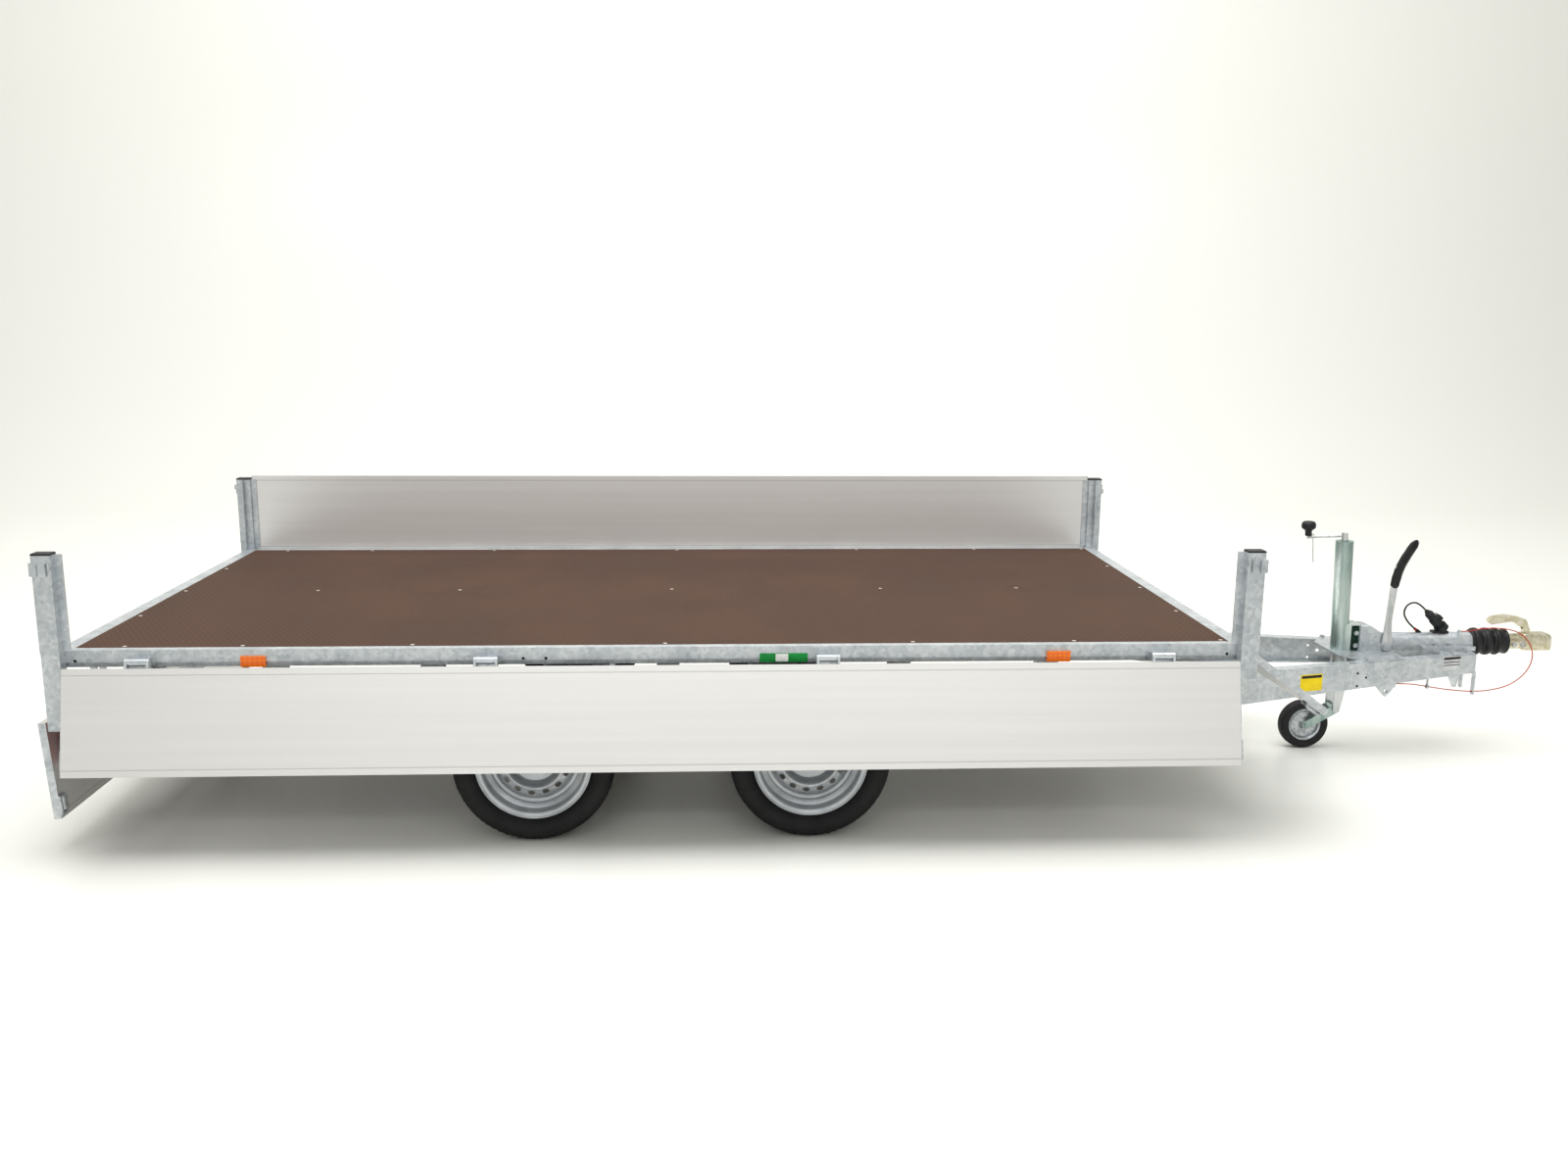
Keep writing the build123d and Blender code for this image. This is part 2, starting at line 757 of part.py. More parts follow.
with BuildPart() as beam_left:
    add([web, top_flange, foot_flange])
    for x, z, radius in beam_holes:
        rod(x, beam_out_at(x), z, radius, 40, "y", Mode.SUBTRACT)
    for x, y in flange_bolts:
        rod(x, y, beam_top, hole_radius, 4 * beam_wall, "z", Mode.SUBTRACT)
save(beam_left.part, "chassis_beam_left")
save(mirror(beam_left.part, about=Plane.XZ), "chassis_beam_right")

def hanger(outline, y0, y1):
    """A bracket under a beam: an outline along the beam, between two distances from the centre."""
    with BuildPart() as body:
        with BuildSketch(Plane.XZ.offset(-y1)):
            Polygon(*outline, align=None)
        extrude(amount=y1 - y0)
    return body.part


hook_x = -321.0
guide_x = -528.5
clamp_hole = (-748.0, -140.0)
hook = [(-378, beam_low_at(-378)), (beam_front, beam_low_at(beam_front)), (hook_x + 3, beam_front_low)]
hook += [(hook_x + 3, -190), (hook_x - 3, -190), (hook_x - 3, -99), (-372, -99), (-372, -158), (-378, -158)]
lug = [(-455, beam_low_at(-455)), (-404, beam_low_at(-404)), (-418, -147), (-432, -147)]
clamp = [(-794, beam_low_at(-794)), (-705, beam_low_at(-705)), (-728, -144), (-748, -164), (-768, -144)]
base = [(-553, beam_low_at(-553)), (-504, beam_low_at(-504)), (-504, -110), (-553, -112)]
hangers = [hanger(hook, -84, -64), hanger(lug, -118, -112)]
hangers += [hanger(clamp, -192, -180), hanger(base, -112, -97)]

with BuildPart() as drawbar_brackets:
    for x0, x1 in plate_spans:
        slant = plate_slant * (x1 - x0)
        widths = [beam_out_at(x) - plate_inset for x in (x0 + slant, x1)]
        half = [(x0, widths[0] - 1.5 * slant), (x0 + slant, widths[0]), (x1, widths[1])]
        with BuildSketch(Plane.XY.offset(beam_top)):
            Polygon(*half, *[(x, -y) for x, y in reversed(half)], align=None)
        extrude(amount=plate_thickness)
    for x, y in flange_bolts + foot_bolts:
        rod(x, y, beam_top, hole_radius, 4 * plate_thickness, "z", Mode.SUBTRACT)
    rod(jockey_foot_x, 0, beam_top, jockey_tube_radius + 1.5, 4 * plate_thickness, "z", Mode.SUBTRACT)
    end = Vector(*breakaway_points[-1])
    block(end.X - 8, end.X, end.Y - 14, end.Y + 10, end.Z - 12, beam_top)
    add(hangers)
    rod(hook_x, -73.6, -177.3, guide_hole, 20, "x", Mode.SUBTRACT)
    rod(clamp_hole[0], -186, clamp_hole[1], 7, 30, "y", Mode.SUBTRACT)
    rod(guide_x, -100, -126, 4, 34, "z")
    rod(guide_x, -100, -147.5, guide_hole + 4, 8, "x")
    rod(guide_x, -100, -147.5, guide_hole, 20, "x", Mode.SUBTRACT)
save(drawbar_brackets.part, "drawbar_brackets")

with BuildPart() as frame_bolts:
    for x, y in flange_bolts:
        bolt_z(x, y, plate_top, beam_top - beam_wall)
    for x, y in foot_bolts:
        bolt_z(x, y, housing_foot_top, beam_top)
    for z in clamp_bolt_zs:
        bolt_y(clamp_bolt_x, z, clamp_half)
save(frame_bolts.part, "frame_bolts")

# ================= axles, swing arms and wheels =================

with BuildPart() as axle_tubes:
    for x in wheel_xs.values():
        with Locations((x + arm_back, 0, tube_z)):
            Box(axle_tube, 2 * axle_tube_half, axle_tube)
            Cylinder(axle_bore, 2 * axle_tube_half, rotation=(90, 0, 0), mode=Mode.SUBTRACT)
save(axle_tubes.part, "axle_tubes")

tyre_outer = [(-66, 180), (-70, 198), (-88, 213), (-95, 236), (-89, 259), (-70, 273), (-52, 275)]
tyre_inner = [(-56, 180), (-60, 196), (-78, 211), (-83, 236), (-78, 252), (-62, 261), (-48, 263)]
tyre_half = [(y * tyre_half_width / 95, r) for y, r in tyre_outer]
tyre_hollow = [(y * tyre_half_width / 95, r) for y, r in tyre_inner]
tyre_section = tyre_half + [(-y, r) for y, r in reversed(tyre_half)]
tyre_section += [(-y, r) for y, r in tyre_hollow] + list(reversed(tyre_hollow))
rim_section = [(-77, 197), (-71, 197), (-71, 179.5), (-45, 179.5), (-38, 160), (38, 160), (45, 179.5)]
rim_section += [(71, 179.5), (71, 197), (77, 197), (77, 176), (42, 176), (35, 156)]
rim_section += [(-35, 156), (-42, 176), (-77, 176)]
disc_section = [(24, 33), (30, 33), (30, 84), (48, 96), (48, 106), (40, 128), (30, 150)]
disc_section += [(30, 157), (24, 157)]
disc_section += [(24, 150), (34, 126), (42, 104), (42, 98), (24, 88)]
spindle_bore = spindle_radius + spindle_clearance
hub_section = [(-60, spindle_bore), (-60, 108), (-22, 108), (-14, 72), (24, 72), (24, 32.5), (54, 32.5)]
hub_section += [(58, 24), (58, 0), (42, 0), (42, spindle_bore)]


def turned(section):
    """A ring turned about the wheel's axis from a section in (out from the wheel's middle, radius)."""
    with BuildPart() as body:
        with BuildSketch(Plane.YZ):
            Polygon(*[(wheel_y + y, r) for y, r in section], align=None)
        revolve(axis=Axis.Y)
    return body.part


with BuildPart() as wheel_form:
    add(turned(rim_section))
    add(turned(disc_section))
    with BuildSketch(Plane.XZ.offset(-wheel_y - 60)):
        with PolarLocations(vent_radius, vent_count):
            SlotCenterToCenter(11, 13, rotation=90)
    extrude(amount=50, mode=Mode.SUBTRACT)
with BuildPart() as hub_form:
    add(turned(hub_section))
    with BuildSketch(Plane.XZ.offset(-wheel_y - 42)):
        with PolarLocations(bolt_circle, bolt_count):
            RegularPolygon(11, 6)
    extrude(amount=12)
tyre_form = turned(tyre_section)

with BuildPart() as arm_form:
    face = axle_tube_half + arm_gap
    with BuildSketch(Plane.XZ.offset(-face - arm_thickness)):
        with Locations((arm_back, arm_drop)):
            Circle(axle_tube / 2)
        Circle(28)
        make_hull()
    extrude(amount=arm_thickness)
    rod(arm_back, face - stub_length / 2, arm_drop, axle_bore - stub_clearance, stub_length, "y")
    reach = wheel_y + 40 - face
    rod(0, face + reach / 2, 0, spindle_radius, reach, "y")
    rod(0, wheel_y - 66.5, 0, 110, 7, "y")

for axle, x in wheel_xs.items():
    for side_name, about in (("left", None), ("right", Plane.XZ)):
        pieces = {"swing_arm": arm_form.part, "wheel": [wheel_form.part, hub_form.part], "tyre": tyre_form}
        for piece_name, form in pieces.items():
            with BuildPart() as placed:
                with Locations((x, 0, wheel_z)):
                    add(form)
                if about:
                    mirror(about=about, mode=Mode.REPLACE)
            save(placed.part, f"{piece_name}_{axle}_{side_name}")


# ================= overrun device and coupling =================

with BuildPart() as overrun_housing:
    with BuildSketch(Plane.XZ.offset(-block_half)):
        crown = block_rear + 38
        outline = [(block_rear, plate_top), (block_rear, block_top), (crown, block_top)]
        outline += [(housing_rear, tube_axis + housing_radius), (housing_rear + 30, plate_top)]
        Polygon(*outline, align=None)
    extrude(amount=2 * block_half)
    fillet(overrun_housing.faces().sort_by(Axis.Z)[-1].edges(), 12)
    length = housing_front - housing_rear
    rod((housing_front + housing_rear) / 2, 0, tube_axis, housing_radius, length, "x")
    block(housing_rear, housing_front, -housing_radius, housing_radius, plate_top, tube_axis)
    block(block_rear, housing_front, -90, 90, plate_top - 40, plate_top, Mode.SUBTRACT)
    foot = (-housing_foot_half, housing_foot_half)
    block(housing_foot_rear, housing_front, *foot, plate_top, housing_foot_top)
    rod(lever_pivot_x, (lever_near - 1) / 2, lever_pivot_z, 20, -lever_near - 1, "y")
    pin_reach = -lever_near + lever_thickness + 6
    rod(lever_pivot_x, -pin_reach / 2, lever_pivot_z, lever_pin_radius, pin_reach, "y")
    rod(lever_pivot_x, -pin_reach + 2.5, lever_pivot_z, 14, 5, "y")
    start = Vector(*breakaway_points[0])
    block(start.X - 10, start.X, start.Y - 6, start.Y + 6, tube_axis + 20, start.Z + 6)
    bore_length = housing_front - draw_tube_rear + draw_tube_room
    rod(housing_front - bore_length / 2, 0, tube_axis, housing_bore, bore_length, "x", Mode.SUBTRACT)
    for x, y in foot_bolts:
        rod(x, y, plate_top, hole_radius, 4 * housing_foot_half, "z", Mode.SUBTRACT)
save(overrun_housing.part, "overrun_housing")

with BuildPart() as draw_tube:
    length = draw_tube_front - draw_tube_rear
    middle = (draw_tube_front + draw_tube_rear) / 2
    rod(middle, 0, tube_axis, draw_tube_radius, length, "x")
    rod(middle, 0, tube_axis, draw_tube_radius - draw_tube_wall, length, "x", Mode.SUBTRACT)
    for x in coupling_bolt_xs:
        rod(x, 0, coupling_bolt_z, hole_radius, 100, "y", Mode.SUBTRACT)
save(draw_tube.part, "draw_tube")

fold = (bellows_front - housing_front) / bellows_folds
with BuildPart() as bellows:
    with BuildSketch(Plane.XZ):
        crest = []
        for index in range(bellows_folds):
            x = housing_front + index * fold
            crest += [(x, bellows_neck), (x + 0.25 * fold, bellows_radius)]
            crest += [(x + 0.75 * fold, bellows_radius)]
        crest += [(bellows_front, bellows_neck), (bellows_front, draw_tube_radius + bellows_gap)]
        crest += [(housing_front, draw_tube_radius + bellows_gap)]
        Polygon(*[(x, tube_axis + radius) for x, radius in crest], align=None)
    revolve(axis=Axis((0, 0, tube_axis), (1, 0, 0)))
save(bellows.part, "bellows")

with BuildPart() as coupling_head:
    sleeve_length = draw_tube_front - bellows_front
    rod(bellows_front + sleeve_length / 2, 0, tube_axis, coupling_sleeve, sleeve_length, "x")
    for x in coupling_bolt_xs:
        block(x - 13, x + 13, -coupling_half, coupling_half, coupling_bolt_z - 13, coupling_bolt_z + 13)
    with BuildSketch(Plane.XY.offset(coupling_low)):
        body = [(-96, -29), (-40, -coupling_half), (0, -coupling_half)]
        Polygon(*body, *[(x, -y) for x, y in reversed(body)], align=None)
        Circle(coupling_half)
    extrude(amount=coupling_top - coupling_low)
    fillet(coupling_head.faces().sort_by(Axis.Z)[-1].edges(), 8)
    lug_half = handle_lug_half
    lug_x0, lug_x1 = handle_pivot_x - 12, handle_pivot_x + 12
    block(lug_x0, lug_x1, -lug_half, lug_half, coupling_top - 6, handle_pivot_z + 8)
    pin_length = 2 * (lug_half + handle_gap + handle_plate + 2)
    rod(handle_pivot_x, 0, handle_pivot_z, handle_pin, pin_length, "y")
    bore = draw_tube_radius + coupling_fit
    rod(draw_tube_front - 100, 0, tube_axis, bore, 2 * 100 + 2 * coupling_fit, "x", Mode.SUBTRACT)
    rod(0, 0, coupling_low / 2, ball_socket_radius, -coupling_low, "z", Mode.SUBTRACT)
    Sphere(ball_socket_radius, mode=Mode.SUBTRACT)
    for x in coupling_bolt_xs:
        rod(x, 0, coupling_bolt_z, hole_radius, 100, "y", Mode.SUBTRACT)
save(coupling_head.part, "coupling_head")

with BuildPart() as coupling_bolts:
    for x in coupling_bolt_xs:
        bolt_y(x, coupling_bolt_z, coupling_half)
save(coupling_bolts.part, "coupling_bolts")

with BuildPart() as coupling_handle:
    near = handle_lug_half + handle_gap
    far = near + handle_plate
    for y0, y1 in ((near, far), (-far, -near)):
        with BuildSketch(Plane.XZ.offset(-y1)):
            with Locations((handle_pivot_x, handle_pivot_z)):
                Circle(11)
            with Locations((-96, 102)):
                Circle(11)
            make_hull()
        extrude(amount=y1 - y0)
    with BuildSketch(Plane.XZ.offset(-far)):
        grip = [(-244, 106), (-232, 90), (-200, 95), (-150, 102), (-124, 94), (-108, 80), (-88, 88)]
        grip += [(-80, 97), (-98, 114), (-119, 121), (-172, 129), (-229, 121)]
        Polygon(*grip, align=None)
    extrude(amount=2 * far)
    handle_bore = handle_pin + handle_pin_clearance
    rod(handle_pivot_x, 0, handle_pivot_z, handle_bore, 60, "y", Mode.SUBTRACT)
save(coupling_handle.part, "coupling_handle")


# ================= handbrake lever =================

lever_edge = [(-712, 20), (-704, 120), (-697, 249), (-684, 342), (-612, 449)]
lever_edge += [(-594, 440), (-644, 338), (-669, 249), (-679, 120), (-672, 20)]
with BuildPart() as handbrake_lever:
    with BuildSketch(Plane.XZ.offset(-lever_near)):
        Polygon(*lever_edge, align=None)
        with Locations((lever_pivot_x, lever_pivot_z)):
            Circle(20)
    extrude(amount=lever_thickness)
    bore = lever_pin_radius + lever_pin_clearance
    rod(lever_pivot_x, lever_near, lever_pivot_z, bore, 60, "y", Mode.SUBTRACT)
save(handbrake_lever.part, "handbrake_lever")

with BuildPart() as handbrake_grip:
    shell = [(-702, 250), (-690, 344), (-616, 459), (-588, 442), (-638, 336), (-663, 250)]
    with BuildSketch(Plane.XZ.offset(-lever_near - grip_wall)):
        Polygon(*shell, align=None)
    extrude(amount=lever_thickness + 2 * grip_wall)
    fillet(handbrake_grip.edges().filter_by(Axis.Y), 6)
    with BuildSketch(Plane.XZ.offset(-lever_near)):
        Polygon(*lever_edge, align=None)
    extrude(amount=lever_thickness, mode=Mode.SUBTRACT)
save(handbrake_grip.part, "handbrake_grip")

# ================= jockey wheel =================

inner_radius = jockey_tube_radius - jockey_tube_wall - jockey_inner_clearance
screw_hole = jockey_screw_radius + jockey_screw_clearance
foot_inner = fork_inner + fork_thickness + foot_gap
foot_far = foot_inner + foot_thickness
lean = Location((jockey_foot_x, 0, jockey_foot_z), (0, -jockey_lean, 0))

with BuildPart() as jockey_outer_tube:
    block(jockey_foot_x, block_rear, -clamp_half, clamp_half, plate_top, block_top + 4)
    with Locations(lean):
        rod(0, 0, jockey_tube_length / 2, jockey_tube_radius, jockey_tube_length, "z")
        bore = jockey_tube_radius - jockey_tube_wall
        rod(0, 0, jockey_tube_length / 2 - 50, bore, jockey_tube_length + 100, "z", Mode.SUBTRACT)
        rod(0, 0, jockey_tube_length + jockey_plate / 2, jockey_tube_radius, jockey_plate, "z")
        rod(0, 0, jockey_tube_length, screw_hole, 60, "z", Mode.SUBTRACT)
    for z in clamp_bolt_zs:
        rod(clamp_bolt_x, 0, z, hole_radius, 120, "y", Mode.SUBTRACT)
save(jockey_outer_tube.part, "jockey_outer_tube")

with BuildPart() as jockey_inner_tube:
    with Locations(lean):
        length = jockey_inner_top - jockey_inner_low
        middle = (jockey_inner_top + jockey_inner_low) / 2
        rod(0, 0, middle, inner_radius, length, "z")
        hollow = length - jockey_nut
        rod(0, 0, middle - jockey_nut / 2, inner_radius - jockey_inner_wall, hollow, "z", Mode.SUBTRACT)
        rod(0, 0, jockey_inner_top, screw_hole, 60, "z", Mode.SUBTRACT)
        block(-26, 30, -foot_far, foot_far, jockey_inner_low - 14, jockey_inner_low)
    for y0, y1 in ((foot_inner, foot_far), (-foot_far, -foot_inner)):
        with BuildSketch(Plane.XZ.offset(-y1)):
            with Locations((jockey_pivot_x, jockey_pivot_z)):
                Circle(15)
            with Locations((-862, -92), (-848, -92)):
                Circle(10)
            with Locations((-878, -92), (-832, -92)):
                Circle(6)
            make_hull()
        extrude(amount=y1 - y0)
    rod(jockey_pivot_x, 0, jockey_pivot_z, jockey_axle_radius, 2 * foot_far, "y")
save(jockey_inner_tube.part, "jockey_inner_tube")

with BuildPart() as jockey_crank:
    with Locations(lean):
        screw_top = jockey_tube_length + jockey_plate + crank_lift + 12
        length = screw_top - jockey_screw_low
        rod(0, 0, jockey_screw_low + length / 2, jockey_screw_radius, length, "z")
        arm_z = jockey_tube_length + jockey_plate + crank_lift
        rod(0, 0, arm_z - 2, 13, 28, "z")
        rod(-crank_reach / 2, 0, arm_z, crank_radius, crank_reach, "x")
        rod(-crank_reach, 0, arm_z + 22, knob_pin_radius, 54, "z")
        rod(0, 0, jockey_tube_length + jockey_plate + 3, 15, 4, "z")
save(jockey_crank.part, "jockey_crank")

knob_low = arm_z + crank_radius + 1
with BuildPart() as jockey_knob:
    with BuildSketch(Plane.XZ):
        Polygon((0, 0), (13, 0), (14, 24), (26, 32), (29, 42), (27, 54), (20, 60), (0, 61), align=None)
    revolve(axis=Axis.Z)
    rod(0, 0, 0, knob_pin_radius + knob_pin_clearance, 2 * 46, "z", Mode.SUBTRACT)
save(jockey_knob.part.moved(lean * Location((-crank_reach, 0, knob_low))), "jockey_knob")

with BuildPart() as jockey_fork:
    wheel_centre = (jockey_wheel_x, ground + jockey_wheel_radius)
    for y0, y1 in ((fork_inner, fork_inner + fork_thickness), (-fork_inner - fork_thickness, -fork_inner)):
        with BuildSketch(Plane.XZ.offset(-y1)):
            with Locations(wheel_centre):
                Circle(15)
            with Locations((jockey_pivot_x, jockey_pivot_z)):
                Circle(18)
            make_hull()
        extrude(amount=y1 - y0)
    with BuildSketch(Plane.XZ.offset(-fork_inner)):
        with Locations((jockey_pivot_x, jockey_pivot_z)):
            Circle(17)
    extrude(amount=2 * fork_inner)
    bore = jockey_axle_radius + jockey_axle_clearance
    rod(jockey_pivot_x, 0, jockey_pivot_z, bore, 100, "y", Mode.SUBTRACT)
    rod(wheel_centre[0], 0, wheel_centre[1], jockey_axle_radius, 2 * (fork_inner + fork_thickness + 5), "y")
save(jockey_fork.part, "jockey_fork")

jockey_bore = jockey_axle_radius + jockey_axle_clearance
disc = [(jockey_bore, 26.5), (14, 26.5), (16, 8), (56, 6), (60, 18), (jockey_tread_inner, 19)]
tread = [(jockey_tread_inner, 21), (78, 23), (92, jockey_wheel_half), (98, 20), (jockey_wheel_radius, 10)]
section = disc + tread
with BuildPart() as jockey_wheel:
    with BuildSketch(Plane.XY):
        Polygon(*section, *[(radius, -half) for radius, half in reversed(section)], align=None)
    revolve(axis=Axis.Y)
save(jockey_wheel.part.moved(Location((*wheel_centre[:1], 0, wheel_centre[1]))), "jockey_wheel")


# ================= lamps and markers =================

with BuildPart() as side_markers:
    for x in marker_xs:
        for side in (-1, 1):
            inner = half_width + rail_side
            y0, y1 = sorted((side * inner, side * (inner + marker_thickness)))
            top = deck_top - marker_drop
            block(x, x + marker_length, y0, y1, top - marker_height, top)
save(side_markers.part, "side_markers")

with BuildPart() as tail_lamps:
    lamp_face = beam_rear - lamp_bar_size
    for side in (-1, 1):
        y0, y1 = sorted((side * lamp_inner, side * lamp_bar_half))
        block(lamp_face - lamp_depth, lamp_face, y0, y1, lamp_low, lamp_low + lamp_height)
    chamfer(tail_lamps.faces().sort_by(Axis.X)[0:2].edges(), 6)
save(tail_lamps.part, "tail_lamps")


# ================= cords, plug and holders =================


def cord(points, radius):
    """A tube along straight runs and tangent arcs, each arc as large as its runs allow."""
    corners = [Vector(*point) for point in points]
    radii = []
    for before, corner, after in zip(corners, corners[1:], corners[2:]):
        turn = (corner - before).get_angle(after - corner)
        run = min((corner - before).length, (after - corner).length)
        radii.append(0.45 * run / tan(radians(turn) / 2))
    print("cord radii:", [round(value) for value in radii])
    with BuildPart() as tube:
        with BuildLine():
            route = FilletPolyline(*corners, radius=radii)
        with BuildSketch(Plane(origin=corners[0], z_dir=corners[1] - corners[0])):
            Circle(radius)
        sweep(path=route)
    filled = tube.part.volume / (route.length * pi * radius**2)
    print("cord length", round(route.length), "volume over section times length", round(filled, 4))
    return tube.part


save(cord(cable_points, cable_radius), "electric_cable")
save(cord(breakaway_points, breakaway_radius), "breakaway_cable")

plug_place = Location(plug_low, (0, -plug_lean, 0))
with BuildPart() as electric_plug:
    with BuildSketch(Plane.XZ):
        profile = [(0, 0), (plug_radius, 0), (plug_radius, 56), (plug_radius - 3, 60), (15, 78), (12, 84)]
        Polygon(*profile, (9, plug_length), (0, plug_length), align=None)
    revolve(axis=Axis.Z)
    block(plug_radius - 4, plug_radius + 8, -13, 13, 30, 54)
save(electric_plug.part.moved(plug_place), "electric_plug")

with BuildPart() as cable_holders:
    with Locations(plug_place):
        rod(0, 0, 4, plug_radius + 5, 24, "z")
    block(-478, -414, -16, 16, 40, 64)
    with Locations(plug_place):
        rod(0, 0, 60, plug_radius + plug_clearance, 120, "z", Mode.SUBTRACT)
    end, before = Vector(*cable_points[-1]), Vector(*cable_points[-2])
    along = Plane(origin=end, z_dir=end - before)
    with Locations(along.location):
        rod(0, 0, 14, 8, 28, "z")
    rod(-500, 0, tube_axis, housing_radius, 300, "x", Mode.SUBTRACT)
save(cable_holders.part, "cable_holders")
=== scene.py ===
import json
import math

import bmesh
import bpy
import numpy as np
from mathutils import Matrix, Vector

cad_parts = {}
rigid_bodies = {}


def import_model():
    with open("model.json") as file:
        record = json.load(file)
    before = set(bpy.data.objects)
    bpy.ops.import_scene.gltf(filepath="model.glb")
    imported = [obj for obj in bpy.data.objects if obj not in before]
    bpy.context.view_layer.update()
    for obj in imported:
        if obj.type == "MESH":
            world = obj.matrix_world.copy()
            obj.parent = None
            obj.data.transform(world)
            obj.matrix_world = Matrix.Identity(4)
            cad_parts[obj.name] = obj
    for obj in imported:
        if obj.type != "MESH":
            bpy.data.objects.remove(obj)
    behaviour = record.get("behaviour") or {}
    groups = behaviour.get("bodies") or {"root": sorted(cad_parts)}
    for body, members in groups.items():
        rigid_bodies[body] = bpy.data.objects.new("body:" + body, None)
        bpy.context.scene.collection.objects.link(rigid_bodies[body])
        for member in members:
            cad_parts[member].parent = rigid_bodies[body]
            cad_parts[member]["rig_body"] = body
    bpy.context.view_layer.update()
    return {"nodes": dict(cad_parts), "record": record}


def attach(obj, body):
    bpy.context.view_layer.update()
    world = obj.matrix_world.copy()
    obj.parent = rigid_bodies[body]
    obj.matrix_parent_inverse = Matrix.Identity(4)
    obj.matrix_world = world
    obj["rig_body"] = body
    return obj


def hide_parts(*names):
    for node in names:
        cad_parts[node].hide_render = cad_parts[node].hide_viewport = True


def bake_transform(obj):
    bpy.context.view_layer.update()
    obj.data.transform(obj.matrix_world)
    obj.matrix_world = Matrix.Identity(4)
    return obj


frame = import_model()
nodes = frame["nodes"]
slotOf = {part["node"]: part["material_slot"] for part in frame["record"]["subparts"]}
mm = 0.001
print("stage: frame loaded,", len(nodes), "nodes")


# the camera's place in metres, its turns in radians and its lens in mm
cameraSettings = {"place": (-3.4613, -5.4253, 1.3558), "yaw": 0.0558, "pitch": 0.2003, "roll": 0.0074,
                  "lens": 31.84, "sensor": 36}


def cameraTurn(yaw, pitch, roll):
    forward = Vector((math.sin(yaw) * math.cos(pitch), math.cos(yaw) * math.cos(pitch), -math.sin(pitch)))
    right = Vector((math.cos(yaw), -math.sin(yaw), 0))
    up = right.cross(forward)
    side = math.cos(roll) * right + math.sin(roll) * up
    top = -math.sin(roll) * right + math.cos(roll) * up
    return Matrix((side, top, -forward)).transposed().to_4x4()


camera = bpy.data.objects.new("camera", bpy.data.cameras.new("camera"))
camera.data.lens = cameraSettings["lens"]
camera.data.sensor_width = cameraSettings["sensor"]
camera.data.clip_end = 100
turn = cameraTurn(cameraSettings["yaw"], cameraSettings["pitch"], cameraSettings["roll"])
camera.matrix_world = Matrix.Translation(cameraSettings["place"]) @ turn
bpy.context.scene.collection.objects.link(camera)
bpy.context.scene.camera = camera
bpy.context.scene.view_settings.view_transform = "Standard"
bpy.context.scene.view_settings.look = "Medium High Contrast"


def linear(hexColour):  # sRGB hex to linear light
    parts = [int(hexColour[i:i + 2], 16) / 255 for i in (1, 3, 5)]
    return [c / 12.92 if c <= 0.04045 else ((c + 0.055) / 1.055) ** 2.4 for c in parts] + [1.0]


def addNode(tree, kind, settings=None, sockets=None):  # a node with its settings, values and links
    made = tree.nodes.new(kind)
    for name, value in (settings or {}).items():
        setattr(made, name, value)
    for name, value in (sockets or {}).items():
        if isinstance(value, bpy.types.NodeSocket):
            tree.links.new(value, made.inputs[name])
        else:
            made.inputs[name].default_value = value
    return made


def newFinish(name):
    finish = bpy.data.materials.new(name)
    finish.use_nodes = True
    tree = finish.node_tree
    tree.nodes.clear()
    shader = addNode(tree, "ShaderNodeBsdfPrincipled")
    addNode(tree, "ShaderNodeOutputMaterial", sockets={"Surface": shader.outputs["BSDF"]})
    where = addNode(tree, "ShaderNodeTexCoord").outputs["Object"]
    return finish, tree, shader, where


def gridQuads(points, closeRows=False, closeColumns=True):
    # points (rows, columns, 3) joined into quads; a closed direction joins its last line to its first
    rows, columns = points.shape[:2]
    index = np.arange(rows * columns).reshape(rows, columns)
    if closeRows:
        index = np.concatenate([index, index[:1]])
    if closeColumns:
        index = np.concatenate([index, index[:, :1]], 1)
    quads = np.stack([index[:-1, :-1], index[1:, :-1], index[1:, 1:], index[:-1, 1:]], -1)
    return points.reshape(-1, 3), quads.reshape(-1, 4)


def placed(points, place):  # points carried by a 4x4 matrix
    carry = np.array(place)
    return points @ carry[:3, :3].T + carry[:3, 3]


def rounded(line, rounds=2, closed=False):
    # corner cutting: each corner gives way to points a quarter and three quarters along its runs
    line = np.array(line, float)
    for _ in range(rounds):
        after = np.roll(line, -1, 0) if closed else line[1:]
        before = line if closed else line[:-1]
        cut = np.stack([0.75 * before + 0.25 * after, 0.25 * before + 0.75 * after], 1)
        cut = cut.reshape(-1, line.shape[1])
        line = cut if closed else np.concatenate([line[:1], cut, line[-1:]])
    return line


def resampled(line, count):  # the same line with evenly spaced points
    reach = np.concatenate([[0], np.cumsum(np.linalg.norm(np.diff(line, axis=0), axis=1))])
    even = np.linspace(0, reach[-1], count)
    return np.stack([np.interp(even, reach, line[:, k]) for k in range(line.shape[1])], 1)


def turned(profile, count=72, place=None, lobes=0, lobeDepth=0.0):
    # a profile of (height, radius) in mm turned about Z; lobes press flutes in, as deep as the radius allows
    profile = np.array(profile, float)
    angle = np.linspace(0, 2 * np.pi, count, endpoint=False)
    radius = profile[:, 1:2] * (1 - lobeDepth * (0.5 - 0.5 * np.cos(lobes * angle))[None])
    height = np.repeat(profile[:, :1], count, 1)
    points = np.stack([radius * np.cos(angle), radius * np.sin(angle), height], -1) * mm
    points, quads = gridQuads(points)
    return (points if place is None else placed(points, place)), quads


